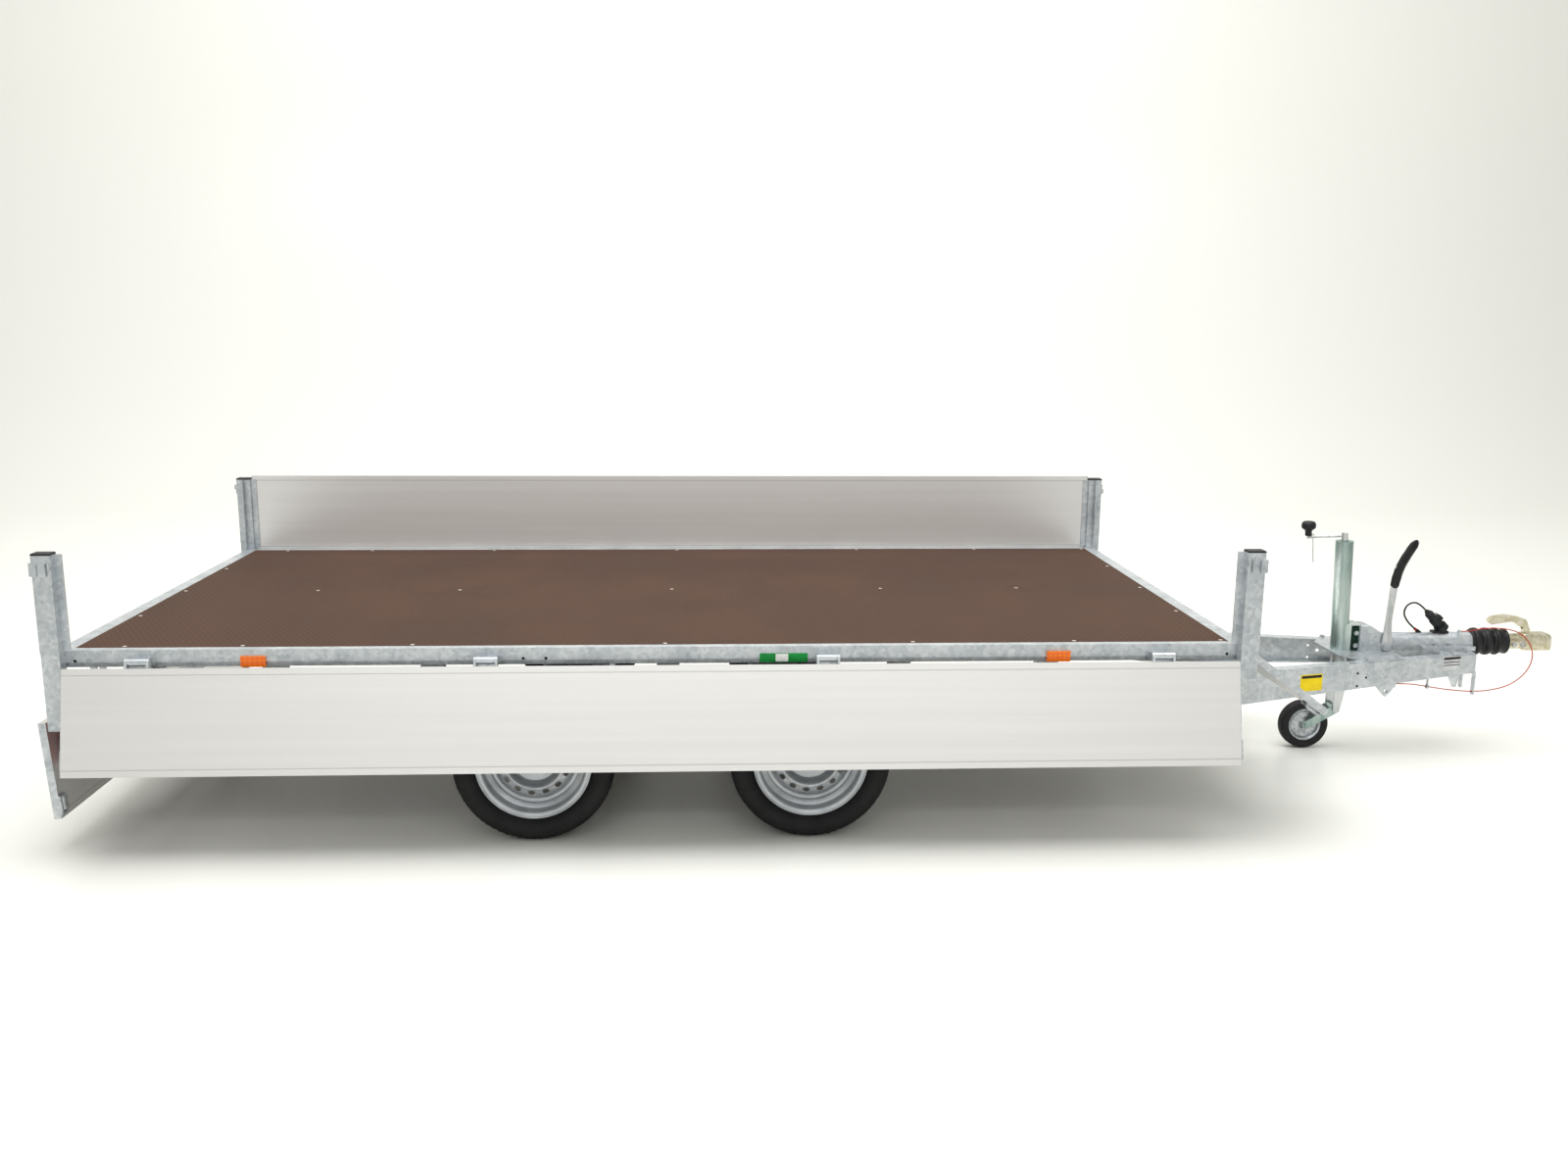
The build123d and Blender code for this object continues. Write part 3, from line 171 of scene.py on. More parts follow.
def outlineSolid(outline, low, high, edge, place=None):
    # a closed outline carried from low to high, its edges rounded by insets that follow a quarter circle
    outline = np.array(outline, float)
    ahead, behind = np.roll(outline, -1, 0) - outline, outline - np.roll(outline, 1, 0)
    normal = np.stack([ahead[:, 1], -ahead[:, 0]], 1) / np.linalg.norm(ahead, axis=1)[:, None]
    normal += np.stack([behind[:, 1], -behind[:, 0]], 1) / np.linalg.norm(behind, axis=1)[:, None]
    normal /= np.maximum(np.linalg.norm(normal, axis=1)[:, None], 1e-6)
    area = np.sum(outline[:, 0] * np.roll(outline[:, 1], -1) - outline[:, 1] * np.roll(outline[:, 0], -1))
    normal *= np.sign(area)
    bend = np.linspace(0, np.pi / 2, 4)
    inset = edge * (1 - np.sin(bend))
    rise = edge * (1 - np.cos(bend))
    levels = [(low + r, i) for r, i in zip(rise, inset)]
    levels += [(high - r, i) for r, i in zip(rise[::-1], inset[::-1])]
    middle = outline.mean(0)
    rings = [np.c_[np.repeat(middle[None], len(outline), 0), np.full(len(outline), low)]]
    rings += [np.c_[outline - normal * i, np.full(len(outline), z)] for z, i in levels]
    rings += [np.c_[np.repeat(middle[None], len(outline), 0), np.full(len(outline), high)]]
    points, quads = gridQuads(np.array(rings) * mm)
    return (points if place is None else placed(points, place)), quads


def roundedRectangle(x0, x1, y0, y1, radius, steps=6):
    corners = ((x1 - radius, y1 - radius, 0), (x0 + radius, y1 - radius, 1))
    corners += ((x0 + radius, y0 + radius, 2), (x1 - radius, y0 + radius, 3))
    bend = np.linspace(0, np.pi / 2, steps)
    return [(x + radius * np.cos(a), y + radius * np.sin(a))
            for x, y, k in corners for a in bend + k * np.pi / 2]


def makePiece(name, surfaces, finish, body, replaced=(), sharp=32):
    # surfaces are (points, quads) pairs joined into one mesh, welded and faced outwards
    points, quads, start = [], [], 0
    for cloud, faces in surfaces:
        points.append(cloud)
        quads.append(faces + start)
        start += len(cloud)
    mesh = bpy.data.meshes.new(name)
    mesh.from_pydata(np.concatenate(points).tolist(), [], np.concatenate(quads).tolist())
    work = bmesh.new()
    work.from_mesh(mesh)
    bmesh.ops.remove_doubles(work, verts=work.verts, dist=1e-6)
    bmesh.ops.dissolve_degenerate(work, edges=work.edges, dist=1e-7)
    bmesh.ops.recalc_face_normals(work, faces=work.faces)
    work.to_mesh(mesh)
    work.free()
    mesh.polygons.foreach_set("use_smooth", np.ones(len(mesh.polygons), bool))
    mesh.set_sharp_from_angle(angle=math.radians(sharp))
    piece = bpy.data.objects.new(name, mesh)
    bpy.context.scene.collection.objects.link(piece)
    mesh.materials.append(finishes[finish])
    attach(piece, body)
    if replaced:
        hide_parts(*replaced)
    return piece


def facing(axis, centre):  # local Z turned to a world axis, the origin moved to centre (mm)
    turn = {"x": Matrix.Rotation(math.pi / 2, 4, "Y"), "y": Matrix.Rotation(-math.pi / 2, 4, "X")}
    turn["-y"] = Matrix.Rotation(math.pi / 2, 4, "X")
    turn["z"] = Matrix.Identity(4)
    return Matrix.Translation(Vector(centre) * mm) @ turn[axis]


finishes = {}

# light and dark are the two tones of the surface, patch the size of its blotches in mm, grain the
# length, width and height of its fine marks in mm, bump the height of those marks in mm
plainFinishes = {
    # bright electroplated zinc: small smooth steel parts, slightly blue
    "zinc_bolt_steel": {"light": "#d3d6d8", "dark": "#a3a8ac", "patch": 14, "grain": (3, 3, 3), "bump": 0.05,
                        "rough": (0.28, 0.42), "metal": 0.9},
    # zinc plated countersunk screws, dulled by the deck
    "dark_screw_steel": {"light": "#f4f2ec", "dark": "#cfccc6", "patch": 6, "grain": (2, 2, 2), "bump": 0.05,
                         "rough": (0.35, 0.5), "metal": 0.7},
    # drawn steel with bright zinc, streaked along its length
    "bright_steel_tube": {"light": "#e3e5e5", "dark": "#bdc0c1", "patch": 40, "tall": 4, "grain": (4, 4, 60),
                          "bump": 0.05, "rough": (0.25, 0.4), "metal": 0.85},
    # blue and green passivated zinc on the jockey tube
    "blue_zinc": {"light": "#d3dcd9", "dark": "#8fa6a0", "patch": 70, "tall": 5, "grain": (4, 4, 120),
                  "bump": 0.02, "rough": (0.24, 0.4), "metal": 0.85},
    # yellow chromated zinc: champagne gold with a faint rainbow of greens
    "yellow_zinc": {"light": "#e6e1d0", "dark": "#c4bc9c", "patch": 26, "grain": (3, 3, 3), "bump": 0.12,
                    "rough": (0.27, 0.42), "metal": 0.85},
    # silver painted pressed steel
    "wheel_silver": {"light": "#c6c9cc", "dark": "#b1b5b9", "patch": 90, "grain": (2, 2, 2), "bump": 0.02,
                     "rough": (0.32, 0.4), "metal": 0.55, "coat": 0.35},
    # galvanised cast and pressed brake parts, dull
    "axle_paint": {"light": "#a2a6a8", "dark": "#7b8083", "patch": 35, "grain": (4, 4, 4), "bump": 0.15,
                   "rough": (0.5, 0.65), "metal": 0.6},
    # black painted cast iron of the brake drums
    "drum_black": {"light": "#2a2b2c", "dark": "#1b1b1c", "patch": 30, "grain": (3, 3, 3), "bump": 0.12,
                   "rough": (0.5, 0.65), "metal": 0.0},
    # injection moulded polypropylene with a fine leather grain
    "black_plastic": {"light": "#26272a", "dark": "#1a1b1d", "patch": 40, "grain": (1.6, 1.6, 1.6),
                      "bump": 0.05, "rough": (0.4, 0.52), "metal": 0.0},
    # soft moulded rubber of bellows and grips, faintly shiny
    "black_rubber": {"light": "#232325", "dark": "#151516", "patch": 30, "grain": (3, 3, 3), "bump": 0.05,
                     "rough": (0.34, 0.48), "metal": 0.0},
    # solid rubber tyre of the jockey wheel
    "jockey_rubber": {"light": "#28282a", "dark": "#1b1b1c", "patch": 25, "grain": (2, 2, 2), "bump": 0.08,
                      "rough": (0.55, 0.7), "metal": 0.0},
    # vulcanised tyre rubber with carbon black, dusty on its tread
    "tyre_rubber": {"light": "#1f1f20", "dark": "#121213", "patch": 60, "grain": (2.5, 2.5, 2.5), "bump": 0.1,
                    "rough": (0.6, 0.78), "metal": 0.0},
    # soft PVC sheath
    "cable_black": {"light": "#1f1f21", "dark": "#161617", "patch": 20, "grain": (2, 2, 2), "bump": 0.02,
                    "rough": (0.38, 0.5), "metal": 0.0},
    # steel wire in a red PVC skin
    "cable_red": {"light": "#c8362c", "dark": "#a82a22", "patch": 20, "grain": (2, 2, 2), "bump": 0.02,
                  "rough": (0.35, 0.45), "metal": 0.0},
    # dark green passivated clamp plate
    "clamp_green": {"light": "#2c4a3c", "dark": "#12231c", "patch": 12, "grain": (4, 4, 4), "bump": 0.05,
                    "rough": (0.3, 0.45), "metal": 0.6},
    # bright red nylon cable ties
    "tie_red": {"light": "#d62a22", "dark": "#b9201a", "patch": 20, "grain": (2, 2, 2), "bump": 0.0,
                "rough": (0.35, 0.45), "metal": 0.0},
    # printed vinyl label, yellow
    "label_yellow": {"light": "#f7dc12", "dark": "#eccf05", "patch": 30, "grain": (4, 4, 4), "bump": 0.0,
                     "rough": (0.4, 0.5), "metal": 0.0},
    # printed vinyl, green
    "label_green": {"light": "#0a9c46", "dark": "#058a3b", "patch": 30, "grain": (4, 4, 4), "bump": 0.0,
                    "rough": (0.4, 0.5), "metal": 0.0},
    # white print and paper
    "label_white": {"light": "#f2f2ee", "dark": "#e6e6e2", "patch": 30, "grain": (4, 4, 4), "bump": 0.0,
                    "rough": (0.5, 0.6), "metal": 0.0},
    # black print, and painted shade: black discs standing for the dark inside of holes
    "black_print_and_hole_shade": {"light": "#1d1d1d", "dark": "#141414", "patch": 30, "grain": (4, 4, 4), "bump": 0.0,
                    "rough": (0.45, 0.55), "metal": 0.0},
    # anodised aluminium type plate
    "plate_aluminium": {"light": "#d9dadb", "dark": "#c2c4c6", "patch": 30, "grain": (60, 2, 2), "bump": 0.02,
                        "rough": (0.3, 0.42), "metal": 0.8},
}


def makePlainFinish(name, values):
    # two tones by soft noise blotches; fine noise, stretched along the grain, moves roughness and height
    finish, tree, shader, where = newFinish(name)
    tall = addNode(tree, "ShaderNodeMapping", sockets={
        "Vector": where, "Scale": (1, 1, 1 / values.get("tall", 1))})
    blotch = addNode(tree, "ShaderNodeTexNoise", sockets={
        "Vector": tall.outputs[0], "Scale": 1000 / values["patch"], "Detail": 3.0,
        "Roughness": 0.6}).outputs["Fac"]
    share = addNode(tree, "ShaderNodeMapRange", sockets={0: blotch, 1: 0.35, 2: 0.65}).outputs[0]
    tone = addNode(tree, "ShaderNodeMix", {"data_type": "RGBA"}, {
        0: share, 6: linear(values["dark"]), 7: linear(values["light"])}).outputs[2]
    stretched = addNode(tree, "ShaderNodeMapping", sockets={
        "Vector": where, "Scale": [1000 / size for size in values["grain"]]}).outputs[0]
    grain = addNode(tree, "ShaderNodeTexNoise", sockets={
        "Vector": stretched, "Scale": 1.0, "Detail": 2.0}).outputs["Fac"]
    rough = addNode(tree, "ShaderNodeMapRange", sockets={
        0: grain, 1: 0.3, 2: 0.7, 3: values["rough"][0], 4: values["rough"][1]}).outputs[0]
    tree.links.new(tone, shader.inputs["Base Color"])
    tree.links.new(rough, shader.inputs["Roughness"])
    if values["bump"]:
        height = addNode(tree, "ShaderNodeBump", sockets={
            "Height": grain, "Distance": values["bump"] * mm, "Strength": 1.0}).outputs[0]
        tree.links.new(height, shader.inputs["Normal"])
    shader.inputs["Metallic"].default_value = values["metal"]
    shader.inputs["Coat Weight"].default_value = values.get("coat", 0.0)
    finishes[name] = finish


for finishName, finishValues in plainFinishes.items():
    makePlainFinish(finishName, finishValues)


# spangle and streak are the sizes of the crystals and of the cloudy patches in mm, grit the height of the
# fine roughness in mm
galvanised = {"light": "#dce0e2", "dark": "#adb3b8", "spangle": 14, "streak": 120, "rough": (0.3, 0.52),
              "metal": 0.7, "grit": 0.25}


def makeGalvanised():
    # hot dip galvanised steel: zinc crystals some 14 mm across, each with its own tone and gloss, under
    # larger cloudy patches where the bath cooled at different speeds
    finish, tree, shader, where = newFinish("galvanised_steel")
    bent = addNode(tree, "ShaderNodeTexNoise", sockets={
        "Vector": where, "Scale": 60.0, "Detail": 2.0}).outputs["Color"]
    pushed = addNode(tree, "ShaderNodeVectorMath", {"operation": "MULTIPLY_ADD"}, {
        0: bent, 1: (0.012, 0.012, 0.012), 2: where}).outputs[0]
    crystal = addNode(tree, "ShaderNodeTexVoronoi", sockets={
        "Vector": pushed, "Scale": 1000 / galvanised["spangle"]}).outputs["Color"]
    facet = addNode(tree, "ShaderNodeSeparateColor", sockets={0: crystal})
    cloud = addNode(tree, "ShaderNodeTexNoise", sockets={
        "Vector": where, "Scale": 1000 / galvanised["streak"], "Detail": 4.0,
        "Roughness": 0.65}).outputs["Fac"]
    cloudShare = addNode(tree, "ShaderNodeMapRange", sockets={0: cloud, 1: 0.32, 2: 0.68}).outputs[0]
    share = addNode(tree, "ShaderNodeMix", {"data_type": "FLOAT"}, {
        0: 0.55, 2: facet.outputs[0], 3: cloudShare}).outputs[0]
    tone = addNode(tree, "ShaderNodeMix", {"data_type": "RGBA"}, {
        0: share, 6: linear(galvanised["dark"]), 7: linear(galvanised["light"])}).outputs[2]
    rough = addNode(tree, "ShaderNodeMapRange", sockets={
        0: facet.outputs[1], 3: galvanised["rough"][0], 4: galvanised["rough"][1]}).outputs[0]
    fine = addNode(tree, "ShaderNodeTexNoise", sockets={
        "Vector": where, "Scale": 350.0, "Detail": 3.0}).outputs["Fac"]
    height = addNode(tree, "ShaderNodeBump", sockets={
        "Height": fine, "Distance": galvanised["grit"] * mm, "Strength": 0.8}).outputs[0]
    tree.links.new(tone, shader.inputs["Base Color"])
    tree.links.new(rough, shader.inputs["Roughness"])
    tree.links.new(height, shader.inputs["Normal"])
    shader.inputs["Metallic"].default_value = galvanised["metal"]
    finishes["galvanised_steel"] = finish


makeGalvanised()


# mesh and pair are the spacing of the net and of a pale and a dark veneer in mm, net its height in mm; netSheen
# is a painted sheen on the net's lines
deckFilm = {"light": "#56443b", "dark": "#4a3a32", "netSheen": "#7a5f50", "rough": (0.62, 0.74), "mesh": 9,
            "net": 0.3, "paleVeneer": "#b08d63", "darkVeneer": "#7d5d3d", "pair": 2.8}


def makeDeckPly():
    # film faced birch plywood: a brown phenolic film pressed against wire mesh, whose 5 mm net is drawn at 9 mm
    # to show, its raised lines painted a lighter brown as painted sheen; below the film the edge shows pale and
    # dark veneers 1.4 mm thick
    finish, tree, shader, where = newFinish("deck_ply")
    blotch = addNode(tree, "ShaderNodeTexNoise", sockets={
        "Vector": where, "Scale": 2.5, "Detail": 6.0, "Roughness": 0.6}).outputs["Fac"]
    share = addNode(tree, "ShaderNodeMapRange", sockets={0: blotch, 1: 0.38, 2: 0.62}).outputs[0]
    film = addNode(tree, "ShaderNodeMix", {"data_type": "RGBA"}, {
        0: share, 6: linear(deckFilm["dark"]), 7: linear(deckFilm["light"])}).outputs[2]
    nets = []
    for angle in (30, -30):
        along = addNode(tree, "ShaderNodeMapping", sockets={
            "Vector": where, "Rotation": (0, 0, math.radians(angle))}).outputs[0]
        nets.append(addNode(tree, "ShaderNodeTexWave", {"bands_direction": "X"}, {
            "Vector": along, "Scale": 1000 / deckFilm["mesh"] / 2 / math.pi}).outputs["Fac"])
    net = addNode(tree, "ShaderNodeMath", {"operation": "MAXIMUM"}, {0: nets[0], 1: nets[1]}).outputs[0]
    # the net's lines are mixed a quarter of the way to a lighter brown: painted sheen on the raised mesh
    netSheen = addNode(tree, "ShaderNodeMix", {"data_type": "RGBA"}, {
        0: addNode(tree, "ShaderNodeMath", {"operation": "MULTIPLY"}, {0: net, 1: 0.25}).outputs[0],
        6: film, 7: linear(deckFilm["netSheen"])}).outputs[2]
    layers = addNode(tree, "ShaderNodeMapping", sockets={
        "Vector": where, "Rotation": (0, math.radians(90), 0)}).outputs[0]
    veneer = addNode(tree, "ShaderNodeTexWave", {"bands_direction": "X"}, {
        "Vector": layers, "Scale": 1000 / deckFilm["pair"] / 2 / math.pi, "Distortion": 0.4}).outputs["Fac"]
    edge = addNode(tree, "ShaderNodeMix", {"data_type": "RGBA"}, {
        0: veneer, 6: linear(deckFilm["darkVeneer"]), 7: linear(deckFilm["paleVeneer"])}).outputs[2]
    normal = addNode(tree, "ShaderNodeNewGeometry").outputs["Normal"]
    upright = addNode(tree, "ShaderNodeSeparateXYZ", sockets={0: normal}).outputs[2]
    flat = addNode(tree, "ShaderNodeMath", {"operation": "ABSOLUTE"}, {0: upright}).outputs[0]
    isFace = addNode(tree, "ShaderNodeMath", {"operation": "GREATER_THAN"}, {0: flat, 1: 0.5}).outputs[0]
    tone = addNode(tree, "ShaderNodeMix", {"data_type": "RGBA"}, {0: isFace, 6: edge, 7: netSheen}).outputs[2]
    rough = addNode(tree, "ShaderNodeMapRange", sockets={
        0: blotch, 1: 0.35, 2: 0.65, 3: deckFilm["rough"][0], 4: deckFilm["rough"][1]}).outputs[0]
    height = addNode(tree, "ShaderNodeBump", sockets={
        "Height": net, "Distance": deckFilm["net"] * mm, "Strength": 0.7}).outputs[0]
    tree.links.new(tone, shader.inputs["Base Color"])
    tree.links.new(rough, shader.inputs["Roughness"])
    tree.links.new(height, shader.inputs["Normal"])
    shader.inputs["Specular IOR Level"].default_value = 0.12
    finishes["deck_ply"] = finish


makeDeckPly()


# each board: the foot its heights are read from, the angle it hangs at in degrees, the way it faces when it
# stands, and the heights of its panel's two edges (mm)
boards = {
    "right": {"foot": (-3605.5, -989, 217), "turn": 167, "out": (0, -1, 0), "low": 20, "high": 368},
    "left": {"foot": (-3605.5, 989, 217), "turn": 0, "out": (0, 1, 0), "low": 20, "high": 368},
    "front": {"foot": (-1628, 0, 211), "turn": 127, "out": (1, 0, 0), "low": 20, "high": 355},
    "rear": {"foot": (-5612, 0, 130.5), "turn": 184, "out": (-1, 0, 0), "low": 124.5, "high": 454.5},
}
# paintedGrooveShade is the darker grey painted along each groove as shade
boardSkin = {"light": "#ebeae8", "dark": "#e5e4e2", "paintedGrooveShade": "#8f8f90", "brush": (900, 1.2, 1.2),
             "rough": (0.3, 0.42), "metal": 0.6, "groove": 4, "lip": 22}


def makeBoardSkin(name, board):
    # extruded and anodised aluminium: matt silver with fine die lines along the board, and a narrow groove some
    # 20 mm in from each edge, its line painted darker grey as painted shade in the recess; heights are read up
    # the board, from a turned copy of the coordinates
    finish, tree, shader, where = newFinish("board_aluminium_" + name)
    out = Vector(board["out"])
    lean = math.radians(board["turn"])
    rise = Vector((0, 0, 1)) * math.cos(lean) + out * math.sin(lean)
    foot = Vector(board["foot"]) * mm
    local = addNode(tree, "ShaderNodeVectorMath", {"operation": "SUBTRACT"}, {
        0: where, 1: tuple(foot)}).outputs[0]
    height = addNode(tree, "ShaderNodeVectorMath", {"operation": "DOT_PRODUCT"}, {
        0: local, 1: tuple(rise)}).outputs["Value"]
    along = addNode(tree, "ShaderNodeVectorMath", {"operation": "DOT_PRODUCT"}, {
        0: local, 1: tuple(out.cross(Vector((0, 0, 1))))}).outputs["Value"]
    flat = addNode(tree, "ShaderNodeCombineXYZ", sockets={0: along, 1: height}).outputs[0]
    stretched = addNode(tree, "ShaderNodeMapping", sockets={
        "Vector": flat, "Scale": [1000 / size for size in boardSkin["brush"]]}).outputs[0]
    lines = addNode(tree, "ShaderNodeTexNoise", sockets={
        "Vector": stretched, "Scale": 1.0, "Detail": 3.0}).outputs["Fac"]
    banded = addNode(tree, "ShaderNodeMapping", sockets={"Vector": flat, "Scale": (0.4, 30, 1)}).outputs[0]
    bands = addNode(tree, "ShaderNodeTexNoise", sockets={
        "Vector": banded, "Scale": 1.0, "Detail": 2.0}).outputs["Fac"]
    mixed = addNode(tree, "ShaderNodeMix", {"data_type": "FLOAT"}, {0: 0.5, 2: lines, 3: bands}).outputs[0]
    share = addNode(tree, "ShaderNodeMapRange", sockets={0: mixed, 1: 0.35, 2: 0.65}).outputs[0]
    tone = addNode(tree, "ShaderNodeMix", {"data_type": "RGBA"}, {
        0: share, 6: linear(boardSkin["dark"]), 7: linear(boardSkin["light"])}).outputs[2]
    rough = addNode(tree, "ShaderNodeMapRange", sockets={
        0: lines, 1: 0.3, 2: 0.7, 3: boardSkin["rough"][0], 4: boardSkin["rough"][1]}).outputs[0]
    middle = (board["low"] + board["high"]) / 2 * mm
    reach = (board["high"] - board["low"]) / 2 * mm - boardSkin["lip"] * mm
    fromMiddle = addNode(tree, "ShaderNodeMath", {"operation": "SUBTRACT"}, {0: height, 1: middle}).outputs[0]
    apart = addNode(tree, "ShaderNodeMath", {"operation": "ABSOLUTE"}, {0: fromMiddle}).outputs[0]
    groove = addNode(tree, "ShaderNodeMath", {"operation": "COMPARE"}, {
        0: apart, 1: reach, 2: boardSkin["groove"] / 2 * mm}).outputs[0]
    # the groove's line is mixed towards a darker grey: painted shade in the recess, beside its real bump
    tone = addNode(tree, "ShaderNodeMix", {"data_type": "RGBA"}, {
        0: addNode(tree, "ShaderNodeMath", {"operation": "MULTIPLY"}, {0: groove, 1: 0.35}).outputs[0],
        6: tone, 7: linear(boardSkin["paintedGrooveShade"])}).outputs[2]
    both = addNode(tree, "ShaderNodeMath", {"operation": "MULTIPLY_ADD"}, {
        0: groove, 1: -8.0, 2: lines}).outputs[0]
    bumped = addNode(tree, "ShaderNodeBump", sockets={
        "Height": both, "Distance": 0.05 * mm, "Strength": 0.8}).outputs[0]
    tree.links.new(tone, shader.inputs["Base Color"])
    tree.links.new(rough, shader.inputs["Roughness"])
    tree.links.new(bumped, shader.inputs["Normal"])
    shader.inputs["Metallic"].default_value = boardSkin["metal"]
    return finish


boardFinishes = {name: makeBoardSkin(name, board) for name, board in boards.items()}
finishes["board_aluminium"] = boardFinishes["left"]

# the light and dark tones of each lens, and two prisms' width in mm
lensTones = {"orange_lens": ("#ff9410", "#f5760a"), "red_lens": ("#b5140f", "#8f0d0b")}
prismPair = 8


def makeLens(name, light, dark):
    # acrylic lamp lens: clear coloured plastic over 4 mm prisms, glossy outside
    finish, tree, shader, where = newFinish(name)
    prism = addNode(tree, "ShaderNodeTexWave", {"bands_direction": "Z"}, {
        "Vector": where, "Scale": 1000 / prismPair / 2 / math.pi}).outputs["Fac"]
    cross = addNode(tree, "ShaderNodeTexWave", {"bands_direction": "X"}, {
        "Vector": where, "Scale": 1000 / prismPair / 2 / math.pi}).outputs["Fac"]
    cells = addNode(tree, "ShaderNodeMath", {"operation": "MULTIPLY"}, {0: prism, 1: cross}).outputs[0]
    tone = addNode(tree, "ShaderNodeMix", {"data_type": "RGBA"}, {
        0: cells, 6: linear(dark), 7: linear(light)}).outputs[2]
    bumped = addNode(tree, "ShaderNodeBump", sockets={
        "Height": cells, "Distance": 0.5 * mm, "Strength": 0.5}).outputs[0]
    tree.links.new(tone, shader.inputs["Base Color"])
    tree.links.new(bumped, shader.inputs["Normal"])
    shader.inputs["Roughness"].default_value = 0.18
    shader.inputs["IOR"].default_value = 1.49
    shader.inputs["Subsurface Weight"].default_value = 0.25
    shader.inputs["Subsurface Scale"].default_value = 0.006
    shader.inputs["Coat Weight"].default_value = 0.5
    finishes[name] = finish


for lensName, (lensLight, lensDark) in lensTones.items():
    makeLens(lensName, lensLight, lensDark)

for name, node in nodes.items():
    chosen = finishes[slotOf[name]]
    if slotOf[name] == "board_aluminium":
        chosen = boardFinishes[name.split("_")[0]]
    for slot in node.material_slots:
        slot.material = chosen
print("stage: materials")


# the sheet behind the trailer, in metres: near edge, where the wall starts to rise, and the rise's radius
studio = {"floor": -0.43, "middle": -2.8, "reach": 30.0, "near": -12.0, "wall": 6.5, "bend": 4.0,
          "height": 14.0, "tone": "#f6f6f1"}


def makeStudio():
    # one sheet: flat floor, a quarter circle up at the back, then a plain wall
    bend = np.linspace(0, np.pi / 2, 24)
    depth = studio["wall"] + studio["bend"] * np.sin(bend)
    depth = np.concatenate([[studio["near"]], depth, [studio["wall"] + studio["bend"]]])
    height = studio["bend"] * (1 - np.cos(bend))
    height = np.concatenate([[0.0], height, [studio["height"]]]) + studio["floor"]
    across = np.linspace(-studio["reach"], studio["reach"], 3) + studio["middle"]
    points = np.stack([np.repeat(across[None], len(depth), 0), np.repeat(depth[:, None], 3, 1),
                       np.repeat(height[:, None], 3, 1)], -1)
    cloud, quads = gridQuads(points, closeColumns=False)
    mesh = bpy.data.meshes.new("studio")
    mesh.from_pydata(cloud.tolist(), [], quads[:, ::-1].tolist())
    mesh.polygons.foreach_set("use_smooth", np.ones(len(mesh.polygons), bool))
    sheet = bpy.data.objects.new("studio", mesh)
    bpy.context.scene.collection.objects.link(sheet)
    finish, _, shader, _ = newFinish("studio_paint")
    shader.inputs["Base Color"].default_value = linear(studio["tone"])
    shader.inputs["Roughness"].default_value = 0.32
    shader.inputs["Specular IOR Level"].default_value = 0.35
    mesh.materials.append(finish)


makeStudio()

# place and aim in metres, size of the lamp, and power in watts
lamps = {
    "top": {"place": (-3.2, -0.6, 5.2), "aim": (-3.2, 0.0, 0.0), "size": (9.0, 5.0), "power": 300},
    "front": {"place": (-3.4, -8.5, 3.6), "aim": (-3.2, 0.0, 0.0), "size": (9.0, 3.0), "power": 95},
    "back": {"place": (-3.2, 4.0, 6.8), "aim": (-3.2, 9.5, 1.5), "size": (14.0, 2.0), "power": 330},
}
for name, lamp in lamps.items():
    light = bpy.data.lights.new(name, "AREA")
    light.shape = "RECTANGLE"
    light.size, light.size_y = lamp["size"]
    light.energy = lamp["power"]
    placedLight = bpy.data.objects.new(name, light)
    placedLight.location = lamp["place"]
    aim = Vector(lamp["aim"]) - Vector(lamp["place"])
    placedLight.rotation_euler = aim.to_track_quat("-Z", "Y").to_euler()
    bpy.context.scene.collection.objects.link(placedLight)
world = bpy.data.worlds.new("world")
world.use_nodes = True
world.node_tree.nodes["Background"].inputs["Color"].default_value = linear("#fdfdfa")
world.node_tree.nodes["Background"].inputs["Strength"].default_value = 0.5
bpy.context.scene.world = world
print("stage: studio")


cordRoutes = {
    # the seven core lead from the plug, up over the drawbar and back down to its clip
    "electric_lead": {
        "points": [(-509, 0, 147), (-530, 0, 168), (-561, -1, 185), (-595, -3, 173), (-607, -4, 139),
                   (-590, -3, 108), (-565, -1, 83), (-541, 0, 64)],
        "radius": 3.5, "finish": "cable_black", "replaces": "electric_cable", "length": 0.232,
        "stiffness": "medium", "end": "object", "with": ["electric_plug"]},
    # the breakaway cable from its eye on the housing, through the guide, and forward to its hook
    "breakaway_line": {
        "points": [(-372, -30, 66), (-334, -30, 66), (-290, -46, 82), (-243, -57, 86), (-196, -61.5, 83),
                   (-150, -62, 71), (-108, -62, 44), (-80, -62, 2), (-71, -61, -42), (-83, -60, -88),
                   (-118, -61, -129), (-166, -63, -158), (-222, -66, -172), (-280, -70, -178), (-337, -75, -177),
                   (-392, -82, -171), (-447, -90, -163), (-501, -97, -153), (-556, -103, -142),
                   (-614, -108, -133), (-672, -108, -133)],
        "radius": 2.0, "finish": "cable_red", "replaces": "breakaway_cable", "length": 1.042,
        "stiffness": "stiff", "end": "object", "with": []},
}


def makeCord(name, route):
    curve = bpy.data.curves.new(name, "CURVE")
    curve.dimensions = "3D"
    curve.bevel_depth = route["radius"] * mm
    curve.bevel_resolution = 5
    curve.resolution_u = 12
    curve.use_fill_caps = True
    spline = curve.splines.new("NURBS")
    spline.points.add(len(route["points"]) - 1)
    corners = np.array(route["points"]) * mm
    spline.points.foreach_set("co", np.c_[corners, np.ones(len(corners))].ravel())
    spline.order_u = 3
    spline.use_endpoint_u = True
    piece = bpy.data.objects.new(name, curve)
    bpy.context.scene.collection.objects.link(piece)
    curve.materials.append(finishes[route["finish"]])
    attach(piece, "root")
    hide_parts(route["replaces"])


for name, route in cordRoutes.items():
    makeCord(name, route)
print("stage: cords")


